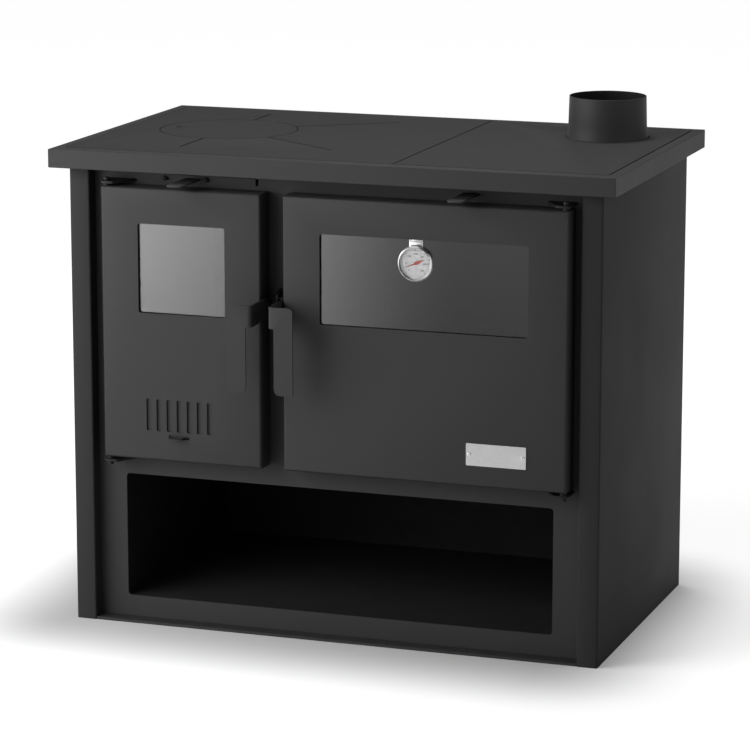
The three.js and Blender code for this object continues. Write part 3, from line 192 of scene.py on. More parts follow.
def floor_paper():
    material = bpy.data.materials.new("floor_paper")
    material.use_nodes = True
    tree = material.node_tree
    shader = tree.nodes["Principled BSDF"]
    shader.inputs["Base Color"].default_value = (FLOOR_GREY, FLOOR_GREY, FLOOR_GREY, 1)
    shader.inputs["Roughness"].default_value = 0.9
    shader.inputs["Specular IOR Level"].default_value = 0.1
    shader.inputs["Emission Color"].default_value = (1, 1, 1, 1)
    place = put(tree, "ShaderNodeTexCoord").outputs["Object"]
    low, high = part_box("base_plate")
    centre = (low + high) / 2
    half = (high - low) / 2
    from_centre = vector_node(tree, "SUBTRACT", place, (
        centre.x - CONTACT_SHORT / 2, centre.y, 0))
    apart = vector_node(tree, "SUBTRACT", vector_node(tree, "ABSOLUTE", from_centre),
                        (half.x - CONTACT_SHORT / 2, half.y, 0))
    outside = vector_node(tree, "MAXIMUM", apart, (0, 0, 0))
    away = put(tree, "ShaderNodeVectorMath", {0: outside}, operation="LENGTH").outputs["Value"]
    level = put(tree, "ShaderNodeMapRange", {
        "Value": away, "From Min": CONTACT_REACH, "From Max": LIFT_REACH,
        "To Min": NEAR_LIFT, "To Max": FAR_LIFT},
        interpolation_type="SMOOTHSTEP").outputs["Result"]
    # Painted shadow: close to the base plate the glow falls to CONTACT_SHARE of its level.
    contact = put(tree, "ShaderNodeMapRange", {
        "Value": away, "From Min": 0.0, "From Max": CONTACT_REACH, "To Min": CONTACT_SHARE,
        "To Max": 1.0}, interpolation_type="SMOOTHSTEP").outputs["Result"]
    lift = math_node(tree, "MULTIPLY", seen_directly(tree), math_node(
        tree, "MULTIPLY", level, contact))
    tree.links.new(lift, shader.inputs["Emission Strength"])
    far = FLOOR_REACH
    flat_sheet("floor", [(-far, -far, 0), (far, -far, 0), (far, far, 0), (-far, far, 0)],
               material)


floor_paper()
print("floor lift:", NEAR_LIFT, "near the stove,", FAR_LIFT, "far from it")

# %% [markdown]
# ## Panels and lamp
# A tall soft panel stands at the front left. It fades towards its right edge, which gives
# the doors and the panes their slow change from light to dark. A weak and even panel stands
# at the right for the side of the cabinet, and a round lamp hangs above the hob.

# %% Panels and lamp
KEY_RADIANCE = 10.0
SIDE_RADIANCE = 2.2
KEY_FADE = (-1.5, -0.4)
NO_FADE = (8.0, 9.0)
FADED_SHARE = 0.09
FOOT_SHARE = 0.35
FULL_HEIGHT = 1.5


def soft_panel(name, left, right, foot, top, radiance, fade):
    """An upright panel of light between two points of the plan, dimmer along X and low down."""
    material = bpy.data.materials.new(name)
    material.use_nodes = True
    tree = material.node_tree
    tree.nodes.remove(tree.nodes["Principled BSDF"])
    place = put(tree, "ShaderNodeSeparateXYZ",
                {"Vector": put(tree, "ShaderNodeTexCoord").outputs["Object"]})
    fade = put(tree, "ShaderNodeMapRange", {
        "Value": place.outputs["X"], "From Min": fade[0], "From Max": fade[1],
        "To Min": radiance, "To Max": FADED_SHARE * radiance},
        interpolation_type="SMOOTHSTEP")
    rise = put(tree, "ShaderNodeMapRange", {
        "Value": place.outputs["Z"], "From Min": foot, "From Max": FULL_HEIGHT,
        "To Min": FOOT_SHARE, "To Max": 1.0})
    glow = put(tree, "ShaderNodeEmission", {"Strength": math_node(
        tree, "MULTIPLY", fade.outputs["Result"], rise.outputs["Result"])})
    tree.links.new(glow.outputs[0], tree.nodes["Material Output"].inputs["Surface"])
    panel = flat_sheet(name, [(*left, foot), (*right, foot), (*right, top), (*left, top)],
                       material)
    panel.visible_camera = False


def fill_lamp(name, place, target, size, power):
    data = bpy.data.lights.new(name, "AREA")
    data.shape = "DISK"
    data.size = size
    data.energy = power
    lamp = bpy.data.objects.new(name, data)
    lamp.location = place
    lamp.rotation_euler = (Vector(target) - Vector(place)).to_track_quat("-Z", "Y").to_euler()
    lamp.visible_camera = False
    bpy.context.scene.collection.objects.link(lamp)


soft_panel("front_panel_light", left=(-3.2, -1.0), right=(0.4, -2.7), foot=0.02, top=2.3,
           radiance=KEY_RADIANCE, fade=KEY_FADE)
soft_panel("side_panel_light", left=(2.5, -1.1), right=(2.3, 0.7), foot=0.4, top=2.2,
           radiance=SIDE_RADIANCE, fade=NO_FADE)
fill_lamp("top_light", place=(0.05, 0.5, 3.3), target=(0, 0, 0.8), size=1.1, power=70)
print("radiance in front:", KEY_RADIANCE, "at the side:", SIDE_RADIANCE)

# %% [markdown]
# ## Grain, brushing and soot
# Three effects are shared by many materials, so each is a node group. Heat-proof paint is
# sprayed on and dries to a fine dry grain, a little glossier in some places than in others.
# Brushed metal has long fine scratches in one direction. Sheet that has seen fire is
# blotched with soot.

# %% Shared surface effects


def surface_group(name, inputs, outputs):
    tree = bpy.data.node_groups.new(name, "ShaderNodeTree")
    for label, kind, value in inputs:
        socket = tree.interface.new_socket(label, in_out="INPUT", socket_type=kind)
        socket.default_value = value
    for label, kind in outputs:
        tree.interface.new_socket(label, in_out="OUTPUT", socket_type=kind)
    given = tree.nodes.new("NodeGroupInput")
    result = tree.nodes.new("NodeGroupOutput")
    return tree, given.outputs, result.inputs


SURFACE_OUTPUTS = [("Colour", "NodeSocketColor"), ("Roughness", "NodeSocketFloat"),
                   ("Height", "NodeSocketFloat")]
NOISE_MIDDLE = 0.5


def shaded(tree, colour, factor):
    """The colour times a factor that varies over the surface."""
    return vector_node(tree, "MULTIPLY", colour, put(tree, "ShaderNodeCombineXYZ", {
        "X": factor, "Y": factor, "Z": factor}).outputs[0])


def paint_grain_group():
    tree, given, result = surface_group("paint_grain", [
        ("Colour", "NodeSocketColor", (0.02, 0.02, 0.02, 1)),
        ("Roughness", "NodeSocketFloat", 0.5),
        ("Mottle", "NodeSocketFloat", 0.12),
        ("Gloss change", "NodeSocketFloat", 0.18),
        ("Grain per metre", "NodeSocketFloat", 900.0)], SURFACE_OUTPUTS)
    place = put(tree, "ShaderNodeTexCoord").outputs["Object"]
    cloud = put(tree, "ShaderNodeTexNoise", {"Vector": place, "Scale": 5.0, "Detail": 5.0,
                                             "Roughness": 0.6})
    grain = put(tree, "ShaderNodeTexNoise", {"Vector": place, "Scale": given["Grain per metre"],
                                             "Detail": 2.0, "Roughness": 0.7})
    grain_share = 0.7
    uneven = math_node(tree, "SUBTRACT", cloud.outputs["Fac"], NOISE_MIDDLE)
    specks = math_node(tree, "SUBTRACT", grain.outputs["Fac"], NOISE_MIDDLE)
    both = math_node(tree, "ADD", uneven, math_node(tree, "MULTIPLY", specks, grain_share))
    factor = math_node(tree, "MULTIPLY_ADD", both, given["Mottle"], 1.0)
    tree.links.new(shaded(tree, given["Colour"], factor), result["Colour"])
    gloss = math_node(tree, "MULTIPLY", uneven, given["Gloss change"])
    tree.links.new(math_node(tree, "ADD", given["Roughness"], gloss), result["Roughness"])
    tree.links.new(grain.outputs["Fac"], result["Height"])
    return tree


def brushed_group():
    tree, given, result = surface_group("brushed_metal", [
        ("Colour", "NodeSocketColor", (0.6, 0.6, 0.6, 1)),
        ("Roughness", "NodeSocketFloat", 0.3),
        ("Stretch", "NodeSocketVector", (40.0, 40.0, 2500.0)),
        ("Depth", "NodeSocketFloat", 0.2)], SURFACE_OUTPUTS)
    place = put(tree, "ShaderNodeTexCoord").outputs["Object"]
    along = vector_node(tree, "MULTIPLY", place, given["Stretch"])
    lines = put(tree, "ShaderNodeTexNoise", {"Vector": along, "Scale": 1.0, "Detail": 3.0,
                                             "Roughness": 0.7})
    smudge = put(tree, "ShaderNodeTexNoise", {"Vector": place, "Scale": 30.0, "Detail": 3.0})
    gloss_change = 0.3
    streak = math_node(tree, "SUBTRACT", lines.outputs["Fac"], NOISE_MIDDLE)
    factor = math_node(tree, "MULTIPLY_ADD", streak, given["Depth"], 1.0)
    tree.links.new(shaded(tree, given["Colour"], factor), result["Colour"])
    patch = math_node(tree, "SUBTRACT", smudge.outputs["Fac"], NOISE_MIDDLE)
    spread = math_node(tree, "MULTIPLY", math_node(tree, "ADD", streak, patch), gloss_change)
    tree.links.new(math_node(tree, "ADD", given["Roughness"], spread), result["Roughness"])
    tree.links.new(lines.outputs["Fac"], result["Height"])
    return tree


def speckle_group():
    tree, given, result = surface_group("speckles", [
        ("Colour", "NodeSocketColor", (0.4, 0.3, 0.2, 1)),
        ("Speck colour", "NodeSocketColor", (0.1, 0.07, 0.04, 1)),
        ("Roughness", "NodeSocketFloat", 0.8),
        ("Specks per metre", "NodeSocketFloat", 250.0),
        ("Amount", "NodeSocketFloat", 0.5)], SURFACE_OUTPUTS)
    place = put(tree, "ShaderNodeTexCoord").outputs["Object"]
    cells = put(tree, "ShaderNodeTexVoronoi", {"Vector": place,
                                               "Scale": given["Specks per metre"]})
    cloud = put(tree, "ShaderNodeTexNoise", {"Vector": place, "Scale": 9.0, "Detail": 6.0,
                                             "Roughness": 0.65})
    chip = put(tree, "ShaderNodeSeparateColor", {"Color": cells.outputs["Color"]})
    chip_share = 0.5
    cloud_floor = 0.2
    gloss_change = 0.15
    chips = math_node(tree, "MULTIPLY", chip.outputs["Red"], chip_share)
    patches = math_node(tree, "SUBTRACT", cloud.outputs["Fac"], cloud_floor)
    both = math_node(tree, "ADD", chips, patches)
    mask = math_node(tree, "MULTIPLY", both, given["Amount"])
    blend = put(tree, "ShaderNodeMix", {"Factor": mask}, data_type="RGBA")
    colours = [socket for socket in blend.inputs if socket.type == "RGBA"]
    tree.links.new(given["Colour"], colours[0])
    tree.links.new(given["Speck colour"], colours[1])
    mixed = [socket for socket in blend.outputs if socket.type == "RGBA"][0]
    tree.links.new(mixed, result["Colour"])
    rough = math_node(tree, "MULTIPLY_ADD", cloud.outputs["Fac"], gloss_change,
                      given["Roughness"])
    tree.links.new(rough, result["Roughness"])
    tree.links.new(chip.outputs["Green"], result["Height"])
    return tree


PAINT_GRAIN = paint_grain_group()
BRUSHED = brushed_group()
SPECKLES = speckle_group()
print("surface effects:", PAINT_GRAIN.name, BRUSHED.name, SPECKLES.name)

# %% [markdown]
# ## The finishes
# Every finish is a Principled shader with one of the groups in front of it. Numbers that
# are the same all over a surface, such as how metallic it is, sit on the shader itself.
# Heat-proof paint is very dark, dry to the touch and only faintly shiny. The panes are tinted
# glass with a clear coat. The oven's pane is the darker one, and its coat mirrors more.

# %% Finishes


def finished(name, group, inputs, bump=0.1, bump_depth=0.1, **shader_values):
    material = bpy.data.materials.new(name)
    material.use_nodes = True
    tree = material.node_tree
    shader = tree.nodes["Principled BSDF"]
    skin = put(tree, "ShaderNodeGroup", node_tree=group)
    for key, value in inputs.items():
        skin.inputs[key].default_value = value
    tree.links.new(skin.outputs["Colour"], shader.inputs["Base Color"])
    tree.links.new(skin.outputs["Roughness"], shader.inputs["Roughness"])
    relief = put(tree, "ShaderNodeBump", {"Height": skin.outputs["Height"], "Strength": bump,
                                          "Distance": bump_depth * MM})
    tree.links.new(relief.outputs["Normal"], shader.inputs["Normal"])
    for key, value in shader_values.items():
        shader.inputs[key.replace("_", " ")].default_value = value
    return material


def grey(level, tint=(1.0, 1.0, 1.0)):
    return (level * tint[0], level * tint[1], level * tint[2], 1)


def black_paint(name, level, roughness, sheen=0.3):
    return finished(name, PAINT_GRAIN, {"Colour": grey(level), "Roughness": roughness},
                    bump=0.25, bump_depth=0.12, Specular_IOR_Level=sheen)


def ceramic_glass(name, tint, coat, coat_ior=1.5):
    return finished(name, PAINT_GRAIN, {
        "Colour": grey(tint), "Roughness": 0.02, "Mottle": 0.02, "Gloss change": 0.01,
        "Grain per metre": 60.0}, bump=0.001, bump_depth=0.01, Transmission_Weight=1.0,
        IOR=1.5, Coat_Weight=coat, Coat_Roughness=0.03, Coat_IOR=coat_ior)


stove_paint = black_paint("stove_paint", level=0.022, roughness=0.6, sheen=0.17)
side_paint = black_paint("side_paint", level=0.022, roughness=0.65, sheen=0.07)
blackened_steel = black_paint("blackened_steel", level=0.006, roughness=0.55, sheen=0.16)
hob_paint = black_paint("hob_paint", level=0.02, roughness=0.7, sheen=0.16)
collar_paint = black_paint("collar_paint", level=0.024, roughness=0.55, sheen=0.16)
# Near-black paint for the hob's bevel faces: painted shade in its seams and slots.
painted_seam_shade = black_paint("painted_seam_shade", level=0.004, roughness=0.8, sheen=0.05)
sooted_sheet = finished("sooted_sheet", SPECKLES, {
    "Colour": grey(0.011), "Speck colour": grey(0.005), "Roughness": 0.75,
    "Specks per metre": 40.0, "Amount": 0.6}, bump=0.1, bump_depth=0.2,
    Specular_IOR_Level=0.12)
cast_iron = finished("cast_iron", SPECKLES, {
    "Colour": grey(0.035, (1.05, 1.0, 0.95)), "Speck colour": grey(0.015), "Roughness": 0.62,
    "Specks per metre": 900.0, "Amount": 0.7}, bump=0.5, bump_depth=0.3, Metallic=0.3)
firebrick = finished("firebrick", SPECKLES, {
    "Colour": (0.44, 0.33, 0.2, 1), "Speck colour": (0.16, 0.1, 0.05, 1), "Roughness": 0.85,
    "Specks per metre": 260.0, "Amount": 0.8}, bump=0.6, bump_depth=0.5)
glass_fibre = finished("glass_fibre", PAINT_GRAIN, {
    "Colour": grey(0.05), "Roughness": 0.9, "Mottle": 0.8, "Grain per metre": 1400.0},
    bump=0.8, bump_depth=0.4)
fire_glass = ceramic_glass("fire_glass", tint=0.4, coat=0.7)
oven_glass = ceramic_glass("oven_glass", tint=0.12, coat=1.0, coat_ior=1.8)
lens_glass = ceramic_glass("lens_glass", tint=0.96, coat=0.0)
stainless = finished("stainless", BRUSHED, {
    "Colour": grey(0.42), "Roughness": 0.45, "Stretch": (60.0, 60.0, 3500.0), "Depth": 0.3},
    bump=0.1, bump_depth=0.04, Metallic=1.0)
plate_metal = finished("plate_metal", BRUSHED, {
    "Colour": grey(0.4), "Roughness": 0.24, "Stretch": (60.0, 60.0, 3500.0), "Depth": 0.3},
    bump=0.1, bump_depth=0.04, Metallic=1.0)
rim_steel = finished("rim_steel", BRUSHED, {
    "Colour": grey(0.62), "Roughness": 0.3, "Stretch": (300.0, 300.0, 300.0), "Depth": 0.15},
    bump=0.05, bump_depth=0.03, Metallic=1.0)
bright_steel = finished("bright_steel", BRUSHED, {
    "Colour": grey(0.5), "Roughness": 0.3, "Stretch": (900.0, 900.0, 900.0), "Depth": 0.2},
    bump=0.1, bump_depth=0.05, Metallic=1.0)
zinc_sheet = finished("zinc_sheet", SPECKLES, {
    "Colour": grey(0.36, (0.98, 1.0, 1.03)), "Speck colour": grey(0.22), "Roughness": 0.4,
    "Specks per metre": 120.0, "Amount": 0.6}, bump=0.05, Metallic=1.0)
dark_enamel = finished("dark_enamel", SPECKLES, {
    "Colour": (0.008, 0.01, 0.014, 1), "Speck colour": grey(0.12), "Roughness": 0.25,
    "Specks per metre": 700.0, "Amount": 0.12}, bump=0.05, Coat_Weight=1.0)
oven_enamel = finished("oven_enamel", SPECKLES, {
    "Colour": grey(0.035), "Speck colour": grey(0.075), "Roughness": 0.42,
    "Specks per metre": 900.0, "Amount": 0.25}, bump=0.05, Specular_IOR_Level=0.35)
dial_silver = finished("dial_silver", BRUSHED, {
    "Colour": grey(0.62), "Roughness": 0.45, "Stretch": (60.0, 60.0, 2200.0), "Depth": 0.35},
    bump=0.1, bump_depth=0.05, Metallic=0.4)
# Black ink for the dial's marks and numbers, also used as painted shade in the cup and rivet
# holes.
ink_and_painted_shade = black_paint("ink_and_painted_shade", level=0.03, roughness=0.5)
needle_red = finished("needle_red", PAINT_GRAIN, {
    "Colour": (0.5, 0.08, 0.06, 1), "Roughness": 0.4, "Mottle": 0.1}, bump=0.05)
FINISH = {
    "paint": stove_paint, "hob": hob_paint, "inside": sooted_sheet, "iron": cast_iron,
    "brick": firebrick, "rope": glass_fibre, "glass": oven_glass, "lens": lens_glass,
    "steel": bright_steel, "zinc": zinc_sheet, "enamel": dark_enamel, "dial": dial_silver,
    "needle": needle_red,
}
for node, solid in frame["nodes"].items():
    solid.data.materials.clear()
    solid.data.materials.append(FINISH[slot_of[node]])
print("finishes:", len(bpy.data.materials))

# %% [markdown]
# ## Broken edges
# No sheared or folded steel edge is perfectly sharp, and the thin light line along a worn
# edge is what makes metal look like metal. Each solid that shows is copied, its loose
# triangles are merged into whole faces, and a bevel takes a few tenths of a millimetre off
# its edges. Small steps in a fold stay and are shaded smooth.

# %% Edge rounding
SMOOTH_BELOW = math.radians(38)
FLAT_BELOW = math.radians(0.5)
SAME_POINT = 0.002 * MM
BEVEL_STEPS = 2


def placed(piece, node, finish, *also):
    """Gives a finished piece its material and body, and hides the solids it replaces."""
    if finish is not None:
        piece.data.materials.clear()
        piece.data.materials.append(finish)
    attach(piece, body_of[node])
    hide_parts(node, *also)


def new_piece(name, mesh):
    piece = bpy.data.objects.new(name, mesh)
    bpy.context.scene.collection.objects.link(piece)
    return piece


def shade(mesh):
    mesh.polygons.foreach_set("use_smooth", [True] * len(mesh.polygons))
    mesh.set_sharp_from_angle(angle=SMOOTH_BELOW)


def rounded(node, width, finish=None, seam_shade_finish=None):
    mesh = frame["nodes"][node].data.copy()
    whole = bmesh.new()
    whole.from_mesh(mesh)
    bmesh.ops.remove_doubles(whole, verts=whole.verts, dist=SAME_POINT)
    bmesh.ops.dissolve_limit(whole, angle_limit=FLAT_BELOW, verts=whole.verts,
                             edges=whole.edges)
    whole.to_mesh(mesh)
    whole.free()
    shade(mesh)
    piece = new_piece(f"{node}_rounded", mesh)
    edge = piece.modifiers.new("edge", "BEVEL")
    edge.width = width * MM
    edge.segments = BEVEL_STEPS
    edge.limit_method = "ANGLE"
    edge.angle_limit = SMOOTH_BELOW
    edge.harden_normals = True
    placed(piece, node, finish or FINISH[slot_of[node]])
    # Bevel faces can take a second, near-black finish: painted shade along the seams.
    if seam_shade_finish:
        piece.data.materials.append(seam_shade_finish)
        edge.material = 1


# %% [markdown]
# The table gives the width of the broken edge in millimetres, the finish, and a near-black
# finish for the bevel faces, which paints shade into the hob's seams and slots. A piece
# without a finish here has the usual one of its slot.

# %% Rounded pieces
ENDS = ("upper", "lower")
EARS = [f"{door}_hinge_ear_{end}" for door in ("fire", "oven") for end in ENDS]
PINS = [f"{door}_hinge_pin_{end}" for door in ("fire", "oven") for end in ENDS]
ROUNDED = [
    (1.2, None, None, ["firebrick_left", "firebrick_right", "firebrick_back"]),
    (0.8, None, None, ["fire_grate", "base_plate"]),
    (0.5, None, None, ["front_panel", "fire_door_panel", "oven_door_panel", "fire_handle",
                       "oven_handle", "damper_rod"]),
    (0.3, None, None, ["back_panel", "wood_store_liner", "fire_door_liner", "air_slide",
                       "air_shutter", "ash_pan", "baking_tray"]),
    (0.5, blackened_steel, None, ["latch_keeper", *EARS, "fire_handle_bolt",
                                  "oven_handle_bolt", *PINS]),
    (0.3, oven_enamel, None, ["oven_box", "oven_door_liner", "oven_runner_left",
                              "oven_runner_right"]),
    (0.5, side_paint, None, ["left_side_panel", "right_side_panel"]),
    (1.2, stove_paint, None, ["worktop_frame"]),
    (1.6, hob_paint, painted_seam_shade, ["left_hob_plate", "right_hob_plate", "hob_lid"]),
    (0.5, fire_glass, None, ["fire_glass"]),
    (0.5, oven_glass, None, ["oven_glass"]),
    (0.2, plate_metal, None, ["bare_plate"]),
]
for width, finish, seam_shade_finish, nodes in ROUNDED:
    for node in nodes:
        rounded(node, width, finish, seam_shade_finish)
print("rounded pieces:", sum(len(nodes) for width, finish, seam_shade_finish, nodes in ROUNDED))

# %% [markdown]
# ## Turned pieces
# The flue collar, the thermometer's case, its lens and its dial are round. Spinning a
# profile about an axis makes them, with far finer steps than the solids need. A closed
# profile gives a closed ring; one that starts and ends on the axis gives a closed disc.

# %% Spinning helper
ON_AXIS = 1e-7
COLLAR_SIDES = 160
DIAL_SIDES = 96
RIVET_SIDES = 32


def spun(name, profile, steps, centre, towards=(0, 0, 1)):
    """Turns [radius, height] points about an axis that stands at centre."""
    shape = bmesh.new()
    rings = []
    for k in range(steps):
        angle = 2 * math.pi * k / steps
        rings.append([shape.verts.new((r * math.cos(angle), r * math.sin(angle), h))
                      for r, h in profile])
    closed = profile[0][0] > 0
    last = len(profile) if closed else len(profile) - 1
    for k, ring in enumerate(rings):
        other = rings[(k + 1) % steps]
        for i in range(last):
            j = (i + 1) % len(profile)
            shape.faces.new((ring[i], other[i], other[j], ring[j]))
    bmesh.ops.remove_doubles(shape, verts=shape.verts, dist=ON_AXIS)
    bmesh.ops.dissolve_degenerate(shape, edges=shape.edges, dist=ON_AXIS)
    bmesh.ops.recalc_face_normals(shape, faces=shape.faces)
    turn = Vector(towards).to_track_quat("Z", "Y").to_matrix().to_4x4()
    bmesh.ops.transform(shape, matrix=Matrix.Translation(centre) @ turn, verts=shape.verts)
    mesh = bpy.data.meshes.new(name)
    shape.to_mesh(mesh)
    shape.free()
    shade(mesh)
    return new_piece(name, mesh)


def arc(centre_r, centre_h, radius, start, end, steps):
    """Points of [radius, height] on an arc, with its angles in degrees."""
    angles = [math.radians(start + (end - start) * k / steps) for k in range(steps + 1)]
    return [(centre_r + radius * math.cos(angle), centre_h + radius * math.sin(angle))
            for angle in angles]


# %% [markdown]
# ## The flue collar
# The collar is a thin steel ring, drawn in above a foot that flares out to its seat in the
# hob. Its upper edge is plain, with just the burr taken off on both sides.

# %% Flue collar


def flue_collar():
    low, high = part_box("flue_collar")
    centre = (low + high) / 2
    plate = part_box("right_hob_plate")[1].z
    foot = (high.x - low.x) / 2
    seat = -1.7 * MM
    neck = foot - 2.8 * MM
    neck_height = 27 * MM
    rim = foot - 4 * MM
    burr = 0.7 * MM
    wall = 2 * MM
    spigot = foot - 7 * MM
    shoulder = seat + 3 * MM
    top = high.z - plate
    steps = 8
    flare = [(neck + (foot - neck) * (1 - k / steps) ** 2,
              seat + (neck_height - seat) * k / steps) for k in range(steps + 1)]
    profile = [(spigot - wall, low.z - plate), (spigot, low.z - plate), (spigot, seat)]
    profile += flare
    profile += arc(rim - burr, top - burr, burr, 0, 90, 4)
    profile += arc(rim - wall + burr, top - burr, burr, 90, 180, 4)
    profile += [(neck - wall, neck_height), (spigot - wall, shoulder)]
    piece = spun("flue_collar_turned", profile, COLLAR_SIDES, (centre.x, centre.y, plate))
    placed(piece, "flue_collar", collar_paint)
    piece.data.materials.append(sooted_sheet)
    for face in piece.data.polygons:
        out = Vector((face.center.x - centre.x, face.center.y - centre.y, 0))
        if face.normal.dot(out.normalized()) < -0.5:
            face.material_index = 1
    print("flue collar faces:", len(piece.data.polygons))


flue_collar()

# %% [markdown]
# ## Geometry Nodes for what repeats
# A seal is a rope of twisted strands that follows the door's edge, a rack is a row of
# wires, and a dial has a ring of marks. Each is a rule with a few sizes, so each is a
# Geometry Nodes tree with named inputs. The result is kept as a plain mesh.

# %% Geometry Nodes helpers


def recipe(name, inputs):
    tree = bpy.data.node_groups.new(name, "GeometryNodeTree")
    for label, kind, value in inputs:
        socket = tree.interface.new_socket(label, in_out="INPUT", socket_type=kind)
        socket.default_value = value
    tree.interface.new_socket("Geometry", in_out="OUTPUT", socket_type="NodeSocketGeometry")
    return tree, tree.nodes.new("NodeGroupInput").outputs, tree.nodes.new("NodeGroupOutput")


def close_recipe(tree, geometry, material, result, smooth=True):
    real = put(tree, "GeometryNodeRealizeInstances", {"Geometry": geometry}).outputs[0]
    soft = put(tree, "GeometryNodeSetShadeSmooth", {"Geometry": real, "Shade Smooth": smooth})
    named = put(tree, "GeometryNodeSetMaterial", {"Geometry": soft.outputs[0],
                                                  "Material": material})
    tree.links.new(named.outputs[0], result.inputs["Geometry"])


def grown(name, tree, sizes):
    piece = new_piece(name, bpy.data.meshes.new(name))
    modifier = piece.modifiers.new(name, "NODES")
    modifier.node_group = tree
    for item in tree.interface.items_tree:
        if item.in_out == "INPUT" and item.name in sizes:
            modifier[item.identifier] = sizes[item.name]
    ready = piece.evaluated_get(bpy.context.evaluated_depsgraph_get())
    mesh = bpy.data.meshes.new_from_object(ready)
    piece.modifiers.clear()
    piece.data = mesh
    print(name, "faces:", len(mesh.polygons))
    return piece


# %% [markdown]
# ## The sealing ropes
# The rope behind each door is glass fibre, twisted from a few strands. A rectangle with
# rounded corners is the path. Every point of a strand is pushed off that path along a
# direction that turns as it goes, a whole number of turns on the way round, so that the
# ends meet.

# %% Sealing ropes
ROPE_STRANDS = 4
ROPE_STEP = 3.5 * MM
LAY_LENGTH = 38 * MM
STRAND_SHARE = 0.27
LAY_SHARE = 0.225


def rope_recipe():
    metres = "NodeSocketFloat"
    tree, given, result = recipe("twisted_rope", [
        ("Width", metres, 0.3), ("Height", metres, 0.4), ("Corner", metres, 0.01),
        ("Strand radius", metres, 0.003), ("Lay radius", metres, 0.0025),
        ("Turns", metres, 30.0), ("Centre", "NodeSocketVector", (0, 0, 0))])
    box = put(tree, "GeometryNodeCurvePrimitiveQuadrilateral", {
        "Width": given["Width"], "Height": given["Height"]})
    path = put(tree, "GeometryNodeFilletCurve", {
        "Curve": box.outputs[0], "Radius": given["Corner"], "Count": 8}, mode="POLY")
    fine = put(tree, "GeometryNodeResampleCurve", {
        "Curve": path.outputs[0], "Length": ROPE_STEP}, mode="LENGTH")
    share = put(tree, "GeometryNodeSplineParameter").outputs["Factor"]
    normal = put(tree, "GeometryNodeInputNormal").outputs[0]
    along = put(tree, "GeometryNodeInputTangent").outputs[0]
    across = vector_node(tree, "CROSS_PRODUCT", normal, along)
    section = put(tree, "GeometryNodeCurvePrimitiveCircle", {
        "Resolution": 7, "Radius": given["Strand radius"]})
    strands = put(tree, "GeometryNodeJoinGeometry")
    for k in range(ROPE_STRANDS):
        turn = math_node(tree, "MULTIPLY", share, math_node(
            tree, "MULTIPLY", given["Turns"], 2 * math.pi))
        angle = math_node(tree, "ADD", turn, 2 * math.pi * k / ROPE_STRANDS)
        parts = [(normal, "COSINE"), (across, "SINE")]
        pushed = [put(tree, "ShaderNodeVectorMath", {
            0: way, "Scale": math_node(tree, "MULTIPLY", math_node(tree, kind, angle),
                                       given["Lay radius"])}, operation="SCALE").outputs[0]
                  for way, kind in parts]
        strand = put(tree, "GeometryNodeSetPosition", {
            "Geometry": fine.outputs[0], "Offset": vector_node(tree, "ADD", *pushed)})
        tube = put(tree, "GeometryNodeCurveToMesh", {
            "Curve": strand.outputs[0], "Profile Curve": section.outputs[0]})
        tree.links.new(tube.outputs[0], strands.inputs[0])
    upright = put(tree, "GeometryNodeTransform", {
        "Geometry": strands.outputs[0], "Translation": given["Centre"],
        "Rotation": (math.pi / 2, 0, 0)})
    close_recipe(tree, upright.outputs[0], glass_fibre, result)
    return tree


def sealing_rope(node, tree):
    low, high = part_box(node)
    thick = high.y - low.y
    wide = high.x - low.x - thick
    tall = high.z - low.z - thick
    turns = float(round(2 * (wide + tall) / LAY_LENGTH))
    piece = grown(f"{node}_twisted", tree, {
        "Width": wide, "Height": tall, "Corner": 10 * MM,
        "Strand radius": STRAND_SHARE * thick, "Lay radius": LAY_SHARE * thick,
        "Turns": turns, "Centre": (low + high) / 2})
    placed(piece, node, None)


rope_tree = rope_recipe()
sealing_rope("fire_sealing_rope", rope_tree)
sealing_rope("oven_sealing_rope", rope_tree)

# %% [markdown]
# ## The oven rack
# A rack is bent from one thick wire, with thinner wires welded across it. The outer wire is
# a rounded rectangle swept with a circle. The inner wires are copies of one straight line,
# one at each point of a row, swept in the same way.

# %% Oven rack
RACK_CORNER = 12 * MM


